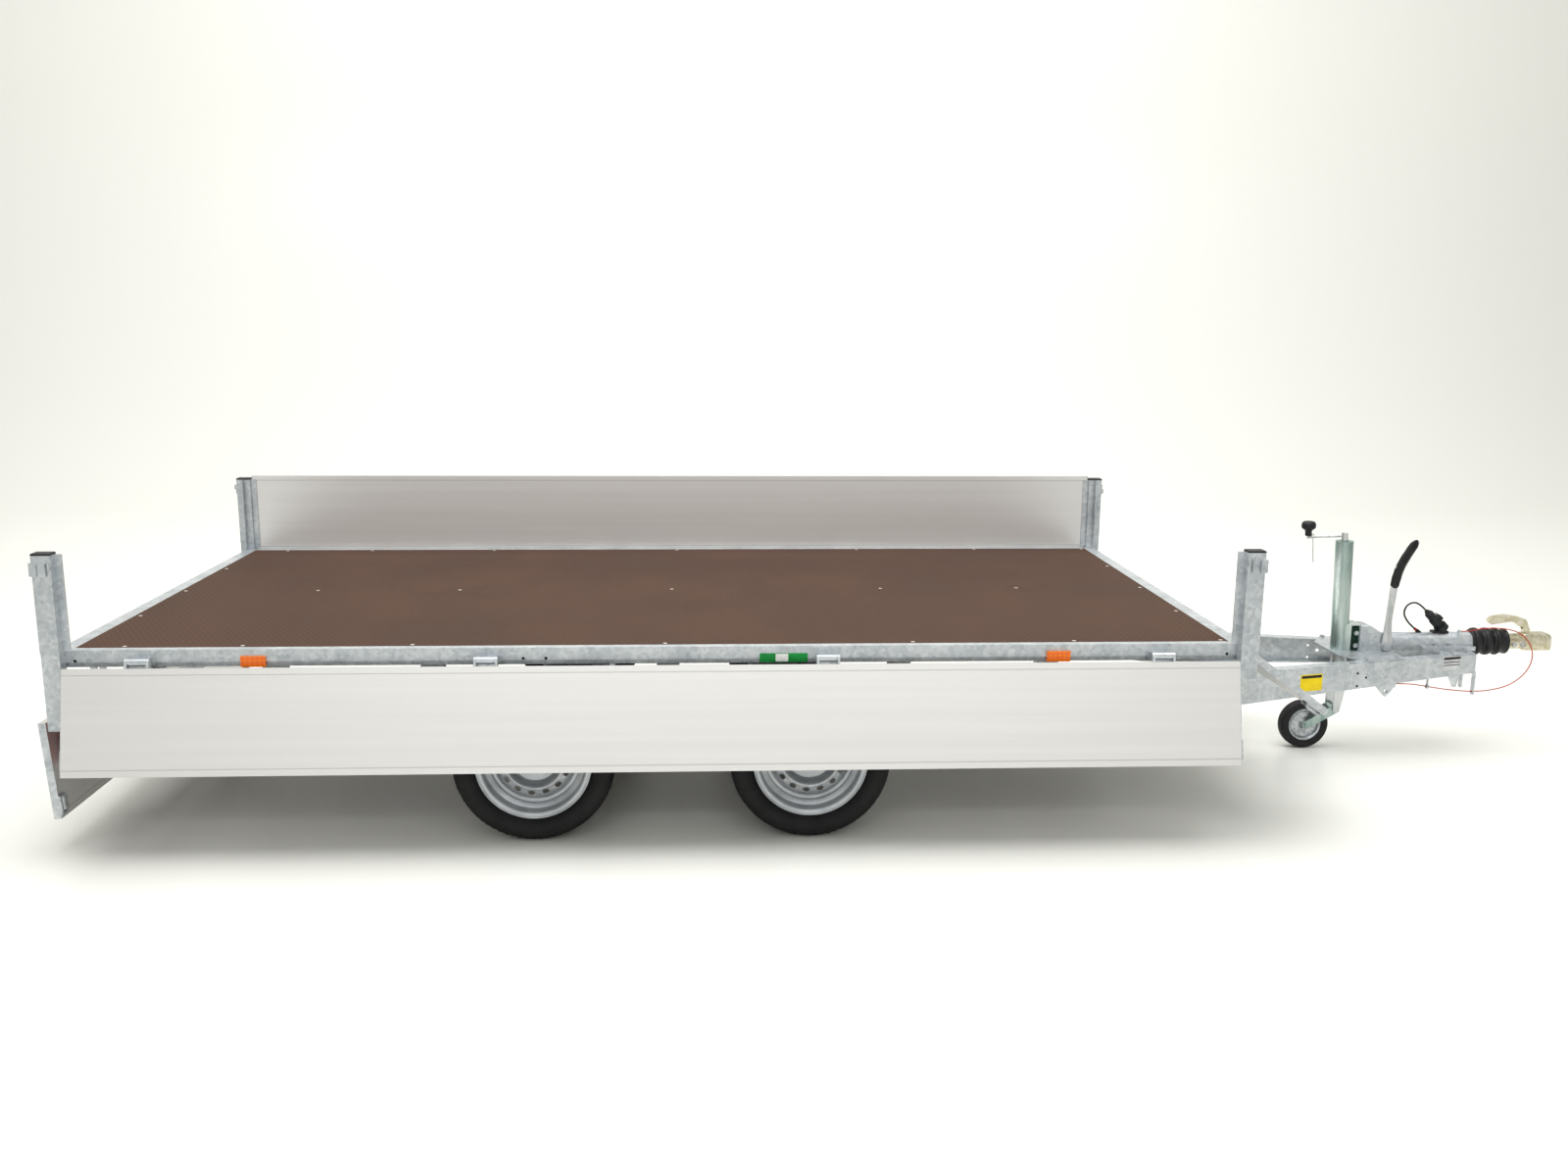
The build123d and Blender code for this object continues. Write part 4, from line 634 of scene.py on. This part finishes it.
wheelSettings = {"middle": (860, -155), "axles": {"front": -3115, "rear": -4051},
                 "sides": {"left": 1, "right": -1}, "segments": 288, "blocks": 72, "grooveDepth": 6.5,
                 "sipeDepth": 4.0, "blockDepth": 2.5, "wide": 95, "vents": 15, "ventCircle": 117,
                 "ventBand": (100.0, 134.0), "nuts": 5, "nutCircle": 56}


def tyreSurface(place):
    # a smooth carcass profile turned about the axle; where the tread is, the radius drops into four
    # grooves round the tyre and, on the shoulders, into cross cuts that repeat with the tread blocks
    half = [(-66, 180), (-70, 198), (-88, 212), (-95, 236), (-91, 258), (-74, 271), (-56, 275), (0, 275)]
    outer = rounded(half, 2)
    outer = np.concatenate([outer, (outer * (-1, 1))[::-1]])
    profile = resampled(outer, 132)
    count = wheelSettings["segments"]
    angle = np.linspace(0, 2 * np.pi, count, endpoint=False)
    across, radius = profile[:, 0], profile[:, 1]
    tread = radius > 268
    around = np.min(np.abs(np.abs(across)[:, None] - np.array([13.0, 39.0])[None]), 1) < 3.6
    drop = np.where(tread & around, wheelSettings["grooveDepth"], 0)[:, None] * np.ones((1, count))
    phase = (angle[None] * wheelSettings["blocks"] / (2 * np.pi) + 0.012 * np.abs(across)[:, None]) % 1
    cut = (phase < 0.22) & (radius > 262)[:, None] & (np.abs(across) > 42)[:, None]
    drop = np.maximum(drop, np.where(cut, wheelSettings["sipeDepth"], 0))
    block = (phase < 0.12) & tread[:, None] & (np.abs(across) < 36)[:, None] & (np.abs(across) > 16)[:, None]
    drop = np.maximum(drop, np.where(block, wheelSettings["blockDepth"], 0))
    reach = radius[:, None] - drop
    bead = 0.9 * np.exp(-((radius - 222) / 1.6) ** 2) + 0.9 * np.exp(-((radius - 250) / 1.6) ** 2)
    out = np.clip(across + np.sign(across) * bead, -wheelSettings["wide"], wheelSettings["wide"])
    points = np.stack([reach * np.cos(angle), reach * np.sin(angle), np.repeat(out[:, None], count, 1)], -1)
    inner = np.array([(62, 181), (58, 200), (-58, 200), (-62, 181)], float)
    wall = np.stack([inner[:, 1:] * np.cos(angle), inner[:, 1:] * np.sin(angle),
                     np.repeat(inner[:, :1], count, 1)], -1)
    cloud, quads = gridQuads(np.concatenate([points, wall]) * mm, closeRows=True)
    return placed(cloud, place), quads


# the wheel disc from hub to rim well, as (radius, height out of the wheel's middle plane)
discLine = np.array([(33, 14), (40, 17), (80, 17), (86, 24), (92, 42), (97, 48.5), (102, 49.5), (108, 47),
                     (122, 41.5), (130, 35), (136, 27), (144, 22), (152, 22), (157.5, 24)], float)


def discHeight(radius):
    return np.interp(radius, discLine[:, 0], discLine[:, 1])


def ventRing(place):
    # between two radii the disc is cut in one sector per vent; each sector is a grid from the vent's oval
    # edge to the sector's border, and the oval edge then runs back through the metal
    inner, outer = wheelSettings["ventBand"]
    count = 48
    half = math.pi / wheelSettings["vents"]
    side = np.linspace(-1, 1, count // 4, endpoint=False)
    one = np.ones_like(side)
    border = np.concatenate([np.c_[side, -one], np.c_[one, side], np.c_[-side, one], np.c_[-one, -side]])
    angleOf, radiusOf = border[:, 0] * half, (inner + outer) / 2 + border[:, 1] * (outer - inner) / 2
    turnOf = np.arctan2(border[:, 1], border[:, 0])
    circle = wheelSettings["ventCircle"]
    hole = np.c_[12.0 * np.cos(turnOf) / circle, circle + 8.5 * np.sin(turnOf)]
    rows = []
    for share in np.linspace(0, 1, 7):
        angle = hole[:, 0] * (1 - share) + angleOf * share
        radius = hole[:, 1] * (1 - share) + radiusOf * share
        lift = 1.5 * (1 - share) ** 2
        rows.append(np.stack([angle, radius, discHeight(radius) - lift], -1))
    rows.insert(0, np.stack([hole[:, 0], hole[:, 1], discHeight(hole[:, 1]) - 7.0], -1))
    sector = np.array(rows)
    surfaces = []
    for k in range(wheelSettings["vents"]):
        angle = sector[..., 0] + 2 * half * k
        radius, lift = sector[..., 1], sector[..., 2]
        points = np.stack([radius * np.cos(angle), radius * np.sin(angle), lift], -1)
        cloud, quads = gridQuads(points * mm)
        surfaces.append((placed(cloud, place), quads))
    return surfaces


def hexagonNut(place, angle):
    # a hexagon of 19 mm across flats with a chamfered top, on the bolt circle
    corner = np.arange(6) * np.pi / 3
    rings = np.array([(0, 24), (11, 24), (11, 38), (9, 41), (5, 41.5), (0, 41.5)])
    points = np.stack([rings[:, :1] * np.cos(corner), rings[:, :1] * np.sin(corner),
                       np.repeat(rings[:, 1:], 6, 1)], -1)
    circle = wheelSettings["nutCircle"]
    points = points + np.array([circle * math.cos(angle), circle * math.sin(angle), -10.0])
    cloud, quads = gridQuads(points * mm)
    return placed(cloud, place), quads


def makeWheel(axle, side):
    sign = wheelSettings["sides"][side]
    out, up = wheelSettings["middle"]
    place = facing("y" if sign > 0 else "-y", (wheelSettings["axles"][axle], sign * out, up))
    body = f"roadwheel_{axle}_{side}"
    tyreName = f"tyre_{axle}_{side}"
    makePiece("road_" + tyreName, [tyreSurface(place)], "tyre_rubber", body, [tyreName], 28)
    rim = [(-77, 197), (-72, 198), (-70, 194), (-71, 182), (-66, 179.5), (-45, 179.5), (-38, 160), (-30, 158),
           (28, 158), (36, 159), (45, 178), (50, 179.5), (66, 179.5), (71, 182), (70, 194), (73, 198),
           (77, 197), (78, 193), (74, 190), (74, 181), (69, 176), (50, 175.5), (42, 173), (34, 156),
           (28, 154), (-28, 154), (-34, 156), (-42, 173), (-50, 175.5), (-69, 176), (-74, 181), (-78, 193)]
    line = rounded(rim, 2, closed=True)
    count = 120
    cloud, quads = turned(line, count, place)
    closing = np.arange(count)
    last = (len(line) - 1) * count
    seam = np.stack([last + closing, closing, np.roll(closing, -1), last + np.roll(closing, -1)], -1)
    surfaces = [(cloud, np.concatenate([quads, seam]))]
    for inner, outer in ((33, 100), (134, 157.5)):
        reach = np.linspace(inner, outer, 28)
        surfaces.append(turned(np.c_[discHeight(reach), reach], 180, place))
    surfaces += ventRing(place)
    makePiece(f"pressed_rim_{axle}_{side}", surfaces, "wheel_silver", body, [f"wheel_{axle}_{side}"], 40)
    drum = [(-60, 0), (-60, 104), (-56, 108), (-26, 108), (-22, 104), (-18, 80), (-14, 72), (6, 72), (8, 70),
            (8, 0)]
    makePiece(f"brake_drum_{axle}_{side}", [turned(drum, 96, place)], "drum_black", body)
    cap = [(10, 0), (10, 33), (40, 33), (43, 31.5), (50, 31), (55, 28), (57.5, 20), (58, 0)]
    count = wheelSettings["nuts"]
    nuts = [hexagonNut(place, 2 * math.pi * k / count + 0.3) for k in range(count)]
    makePiece(f"hub_cap_{axle}_{side}", [turned(cap, 64, place)] + nuts, "zinc_bolt_steel", body)


for axle in wheelSettings["axles"]:
    for side in wheelSettings["sides"]:
        makeWheel(axle, side)
print("stage: road wheels")


bellowsSettings = {"rear": -318, "front": -168, "axis": 17, "wall": 4.0, "line": [
    (-318, 45), (-312, 46), (-309, 53), (-301, 57), (-289, 57), (-283, 52), (-278, 44), (-270, 43),
    (-264, 49), (-258, 56), (-246, 57), (-238, 54), (-232, 46), (-224, 44), (-218, 49), (-214, 56),
    (-206, 57), (-202, 51), (-198, 49), (-176, 49), (-173, 52), (-168, 52)]}


def makeBellows():
    # a line of swelling folds and a plain front collar turned about the draw tube
    line = rounded(bellowsSettings["line"], 2)
    thin = line[::-1] - (0, bellowsSettings["wall"])
    line = np.concatenate([line, thin, line[:1]])
    cloud, quads = turned(line, 96, facing("x", (0, 0, bellowsSettings["axis"])))
    piece = makePiece("folded_bellows", [(cloud, quads)], "black_rubber", "root", ["bellows"], 60)
    piece.parent = None
    del piece["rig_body"]
    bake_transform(piece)


makeBellows()


jockey = {"wheel": (-990, 0, -330), "foot": (-863, 0, -25), "lean": 2.0, "crank": 152, "knobLow": 491}
jockeyPlace = facing("y", jockey["wheel"])
tyreLine = rounded([(-19, 66), (-22, 70), (-24, 82), (-25, 92), (-21, 98), (-10, 100), (10, 100), (21, 98),
                    (25, 92), (24, 82), (22, 70), (19, 66), (-19, 66)], 2)
makePiece("jockey_tyre", [turned(tyreLine, 96, jockeyPlace)], "jockey_rubber", "jockey_wheel",
          ["jockey_wheel"])
discPath = rounded([(-26.5, 8.2), (-26.5, 14), (-9, 17), (-7, 30), (-6, 52), (-17, 58), (-21, 66), (-19, 68),
                    (19, 68), (21, 66), (17, 58), (6, 52), (7, 30), (9, 17), (26.5, 14), (26.5, 8.2),
                    (-26.5, 8.2)], 1)
makePiece("jockey_disc", [turned(discPath, 72, jockeyPlace)], "zinc_bolt_steel", "jockey_wheel")
legLean = Matrix.Rotation(-math.radians(jockey["lean"]), 4, "Y")
leanPlace = Matrix.Translation(Vector(jockey["foot"]) * mm) @ legLean
knobPlace = leanPlace @ Matrix.Translation(Vector((-jockey["crank"], 0, jockey["knobLow"])) * mm)
knobLine = rounded([(0, 5.1), (0, 12.5), (6, 13), (22, 13.5), (27, 20), (32, 27.5), (40, 29), (52, 28),
                    (59, 21), (61, 9), (61, 0)], 2)
knobLine = np.concatenate([knobLine, [(46, 0), (46, 5.1), (0, 5.1)]])
makePiece("crank_knob", [turned(knobLine, 96, knobPlace, 8, 0.03)], "black_plastic", "jockey_knob",
          ["jockey_knob"], 45)
print("stage: jockey wheel")


plug = {"low": (-436, 0, 74), "lean": 45}
plugLean = Matrix.Rotation(-math.radians(plug["lean"]), 4, "Y")
plugPlace = Matrix.Translation(Vector(plug["low"]) * mm) @ plugLean
ribs = np.linspace(62, 88, 79)
plugGrip = np.c_[ribs, 16.6 + 0.8 * np.cos(2 * np.pi * ribs / 6.5)]
plugTail = rounded([(89, 16), (92, 13), (98, 10), (103, 9), (103.2, 7), (103.2, 0)], 2)
plugLine = np.concatenate([[(0, 0), (0, 20), (2, 21), (24, 21), (25, 19), (28, 19), (29, 21), (52, 21),
                            (56, 20), (60, 17)], plugGrip, plugTail])
sideways = Matrix.Rotation(math.pi / 2, 4, "Y")
lidPlace = plugPlace @ Matrix.Translation((0.016, 0, 0.042)) @ sideways
lid = outlineSolid(roundedRectangle(-12, 12, -13, 13, 5), 0, 13, 2.0, lidPlace)
knucklePlace = plugPlace @ Matrix.Translation((0.012, 0, 0.062)) @ sideways
hingeKnuckle = outlineSolid(roundedRectangle(-4, 4, -9, 9, 3), 8, 12, 1.0, knucklePlace)
makePiece("round_plug", [turned(plugLine, 72, plugPlace), lid, hingeKnuckle], "black_plastic", "root",
          ["electric_plug"])
print("stage: plug")


# the head's plan is half a circle ahead of the ball, straight sides back to the shoulder, and sides that
# close in from there to the rear; levels are (height, share of the nose's reach, share of the sides' reach)
couplingSettings = {"low": -16.0, "top": 52.0, "cup": 25.3, "wide": 33, "shoulder": 40, "rear": 96,
                    "rearWide": 29, "count": 144, "crown": -40.0,
                    "levels": [(-16, 0.93, 0.94), (-10, 1.0, 1.0), (8, 1.0, 1.0), (30, 0.97, 0.98),
                               (40, 0.86, 0.95), (46, 0.66, 0.9), (50, 0.42, 0.82), (52, 0.2, 0.7)],
                    "sleeve": [(-168, 25.3), (-168, 32), (-86, 32), (-86, 25.3), (-168, 25.3)], "axis": 17,
                    "bolts": (-140, -104), "boltLevel": 9, "lug": (-78, 64)}


def makeCouplingHead():
    # the plan's edge is a distance from the ball's centre for each angle; going up, the part ahead of the
    # ball draws back and the sides lean in; below, the edge joins a round cup that closes over the ball
    count, cup, wide = (couplingSettings[key] for key in ("count", "cup", "wide"))
    angle = np.linspace(0, 2 * np.pi, count, endpoint=False)
    cosA, sinA = np.cos(angle), np.sin(angle)
    slope = (wide - couplingSettings["rearWide"]) / (couplingSettings["rear"] - couplingSettings["shoulder"])
    sideReach = np.where(np.abs(sinA) > 1e-6, wide / np.maximum(np.abs(sinA), 1e-6), 1e6)
    leanReach = (wide + couplingSettings["shoulder"] * slope) / np.maximum(np.abs(sinA) - slope * cosA, 1e-6)
    rearReach = np.where(cosA < -1e-6, couplingSettings["rear"] / np.maximum(-cosA, 1e-6), 1e6)
    reach = np.where(cosA > 0, wide, np.minimum(np.minimum(sideReach, rearReach), leanReach))
    rings = [np.c_[cup * np.cos(a) * cosA, cup * np.cos(a) * sinA, np.full(count, cup * np.sin(a))]
             for a in np.linspace(np.pi / 2, 0, 10)]
    rings.append(np.c_[cup * cosA, cup * sinA, np.full(count, couplingSettings["low"])])
    for z, nose, side in couplingSettings["levels"]:
        ahead = np.where(cosA > 0, nose, 1.0)
        rings.append(np.c_[reach * cosA * ahead, reach * sinA * side, np.full(count, float(z))])
    crown, top = couplingSettings["crown"], couplingSettings["top"]
    rings.append(np.c_[np.full(count, crown), np.zeros(count), np.full(count, top)])
    surfaces = [gridQuads(np.array(rings) * mm)]
    surfaces.append(turned(couplingSettings["sleeve"], 72, facing("x", (0, 0, couplingSettings["axis"]))))
    for x in couplingSettings["bolts"]:
        for side in (-1, 1):
            place = facing("-y" if side < 0 else "y", (x, 0, couplingSettings["boltLevel"]))
            surfaces.append(turned([(22, 0), (22, 13), (31, 13), (33, 11), (33, 6), (33, 0)], 40, place))
    x, z = couplingSettings["lug"]
    outline = roundedRectangle(x - 12, x + 12, 46, z + 8, 7)
    surfaces.append(outlineSolid(outline, -9, 9, 1.5, facing("-y", (0, 0, 0))))
    pinPlace = facing("y", (x, 0, z))
    surfaces.append(turned([(-16, 0), (-16, 4), (-15, 5), (15, 5), (16, 4), (16, 0)], 32, pinPlace))
    makePiece("cast_coupling_head", surfaces, "yellow_zinc", "coupling", ["coupling_head"], 34)


makeCouplingHead()
print("stage: coupling")


gripSettings = {"path": [(-682, 250), (-676, 300), (-664, 345), (-636, 398), (-602, 451)], "middle": -53,
                "width": (19, 18), "depth": 9.0}


def makeGrip():
    # an oval section carried up the lever's line; its width swells and pinches in soft finger rings
    path = resampled(rounded(gripSettings["path"], 3), 90)
    ahead = np.gradient(path, axis=0)
    ahead /= np.linalg.norm(ahead, axis=1)[:, None]
    across = np.stack([-ahead[:, 1], ahead[:, 0]], 1)
    share = np.linspace(0, 1, 90)
    close = np.sqrt(np.clip(np.minimum(share * 14, (1 - share) * 9), 0, 1))
    width = (gripSettings["width"][0] * (1 - share) + gripSettings["width"][1] * share) * close
    width *= 1 - 0.05 * (0.5 - 0.5 * np.cos(share * 2 * np.pi * 5))
    angle = np.linspace(0, 2 * np.pi, 40, endpoint=False)
    flatX = np.sign(np.cos(angle)) * np.abs(np.cos(angle)) ** 0.8
    flatY = np.sign(np.sin(angle)) * np.abs(np.sin(angle)) ** 0.8
    centre = path[:, None, :] + across[:, None, :] * (width[:, None] * flatX[None])[..., None]
    depth = gripSettings["middle"] + (gripSettings["depth"] * close)[:, None] * flatY[None]
    points = np.stack([centre[..., 0], depth, centre[..., 1]], -1) * mm
    makePiece("lever_grip", [gridQuads(points)], "black_rubber", "handbrake", ["handbrake_grip"], 60)


makeGrip()


def slab(name, x0, x1, z0, z1, y0, y1, finish, body="root", corner=3):
    place = facing("-y", (0, 0, 0))
    outline = roundedRectangle(x0, x1, z0, z1, corner)
    makePiece(name, [outlineSolid(outline, y0, y1, 0.1, place)], finish, body)


labels = {
    "clamp_plate_near": (-834, -803, -18, 94, 36, 37.5, "clamp_green"),
    "clamp_plate_far": (-834, -803, -18, 94, -37.5, -36, "clamp_green"),
    "side_strip": (-3291, -3131, 196, 226, 956, 956.6, "label_green"),
    "side_strip_patch": (-3238, -3196, 198, 224, 956.5, 957.0, "label_white"),
}
for name, (x0, x1, z0, z1, y0, y1, finish) in labels.items():
    slab(name, x0, x1, z0, z1, y0, y1, finish)

# plates that lie on the sloping outer face of the near beam: place along the beam and height (mm)
beamFace = {"bend": (-2390, 600), "front": (-333, 100), "plates": {
    "warning_label": (-1148, -1050, -110, -43, 0.6, "label_yellow"),
    "warning_label_head": (-1144, -1054, -58, -47, 0.9, "black_print_and_hole_shade"),
    "type_plate": (-496, -404, -69, -13, 0.8, "plate_aluminium"),
    "type_plate_head": (-490, -410, -27, -18, 1.0, "black_print_and_hole_shade"),
    "type_plate_line_a": (-490, -410, -40, -37, 1.0, "black_print_and_hole_shade"),
    "type_plate_line_b": (-490, -410, -52, -49, 1.0, "black_print_and_hole_shade"),
    # the hole marks are black discs on the beam: painted shade for the dark inside of its holes
    "beam_hole_a": (-895, -885, -59, -49, 0.5, "black_print_and_hole_shade"),
    "beam_hole_b": (-857, -847, -78, -68, 0.5, "black_print_and_hole_shade"),
    "beam_hole_c": (-894, -884, -111, -101, 0.5, "black_print_and_hole_shade"),
}}
runX, runY = beamFace["front"][0] - beamFace["bend"][0], -beamFace["front"][1] + beamFace["bend"][1]
beamAngle = math.atan2(runY, runX)
for name, (x0, x1, z0, z1, thick, finish) in beamFace["plates"].items():
    share = ((x0 + x1) / 2 - beamFace["bend"][0]) / runX
    middle = Vector(((x0 + x1) / 2, -beamFace["bend"][1] + runY * share, (z0 + z1) / 2)) * mm
    half = (x1 - x0) / 2 / math.cos(beamAngle)
    aligned = Matrix.Rotation(beamAngle, 4, "Z") @ Matrix.Rotation(math.pi / 2, 4, "X")
    place = Matrix.Translation(middle) @ aligned
    corner = min(3, (z1 - z0) / 2 - 0.1) if "hole" not in name else 4.9
    outline = roundedRectangle(-half, half, (z0 - z1) / 2, (z1 - z0) / 2, corner)
    makePiece(name, [outlineSolid(outline, -0.2, thick, 0.1, place)], finish, "root")

# black discs on the near rail: painted shade for the dark inside of its holes
for index, x in enumerate((-5508, -4070, -3996, -1708)):
    ring = outlineSolid(roundedRectangle(-5, 5, -5, 5, 4.9), -0.2, 0.4, 0.1, facing("-y", (x, -956, 214)))
    makePiece(f"painted_rail_hole_shade_{index}", [ring], "black_print_and_hole_shade", "root")

# hook plates welded near the top of each corner post: a flat back and a lip turned outwards
hookSettings = {"level": 522, "half": 22, "reach": 11, "wall": 3, "lip": 2.0, "sideWide": 16, "endWide": 10,
                "postX": (-5595, -1616), "postY": 1001, "along": 30, "inward": 14}


def hookSurface(place, wide):
    low, high = -hookSettings["half"], hookSettings["half"]
    reach, wall = hookSettings["reach"], hookSettings["wall"]
    back = outlineSolid(roundedRectangle(-wide, wall - wide, low, high, 1), 0, reach, 0.5, place)
    front = outlineSolid(roundedRectangle(wide - wall, wide, low, high, 1), 0, reach, 0.5, place)
    lip = outlineSolid(roundedRectangle(-wide, wide, low, high, 3), 0, hookSettings["lip"], 0.4, place)
    return [back, front, lip]


hooks = []
for sideY in (-1, 1):
    for postX, sideX in zip(hookSettings["postX"], (-1, 1)):
        sidePlace = Vector((postX - sideX * hookSettings["along"], sideY * hookSettings["postY"],
                            hookSettings["level"])) * mm
        upright = Matrix.Rotation(-sideY * math.pi / 2, 4, "X")
        hooks += hookSurface(Matrix.Translation(sidePlace) @ upright, hookSettings["sideWide"])
        endPlace = Vector((postX, sideY * (hookSettings["postY"] - hookSettings["inward"]),
                           hookSettings["level"])) * mm
        spun = Matrix.Rotation(sideX * math.pi / 2, 4, "Z") @ Matrix.Rotation(math.pi / 2, 4, "X")
        hooks += hookSurface(Matrix.Translation(endPlace) @ spun, hookSettings["endWide"])
makePiece("post_hooks", hooks, "galvanised_steel", "root")

# nylon ties: two red bands where the lead meets the drawbar, and a thin tail on the crank
bandLine = [(-2, 5.0), (2, 5.0), (2, 6.5), (-2, 6.5), (-2, 5.0)]
for index, (x, z) in enumerate(((-548, 70), (-536, 60))):
    place = Matrix.Translation(Vector((x, 0, z)) * mm) @ Matrix.Rotation(math.radians(128), 4, "Y")
    makePiece(f"red_tie_{index}", [turned(bandLine, 40, place)], "tie_red", "root")


def crankTie():
    # a flat strip 3 mm wide that loops the crank arm and hangs, curving a little
    path = resampled(rounded([(-1008, 462), (-1012, 470), (-1018, 468), (-1016, 458), (-1010, 440),
                              (-1008, 400), (-1003, 352)], 3), 40)
    ahead = np.gradient(path, axis=0)
    ahead /= np.linalg.norm(ahead, axis=1)[:, None]
    side = np.stack([-ahead[:, 1], ahead[:, 0]], 1)
    corner = np.array([(-1.5, -0.6), (1.5, -0.6), (1.5, 0.6), (-1.5, 0.6)])
    flat = path[:, None] + side[:, None] * corner[None, :, 1:]
    points = np.stack([flat[..., 0], np.repeat(corner[None, :, 0], 40, 0), flat[..., 1]], -1)
    tip = np.repeat(points[-1:].mean(1, keepdims=True), 4, 1)
    head = np.repeat(points[:1].mean(1, keepdims=True), 4, 1)
    strip = gridQuads(np.concatenate([head, points, tip]) * mm)
    makePiece("crank_tie", [strip], "black_plastic", "jockey_crank")


crankTie()
print("stage: labels")


print("stage: done")
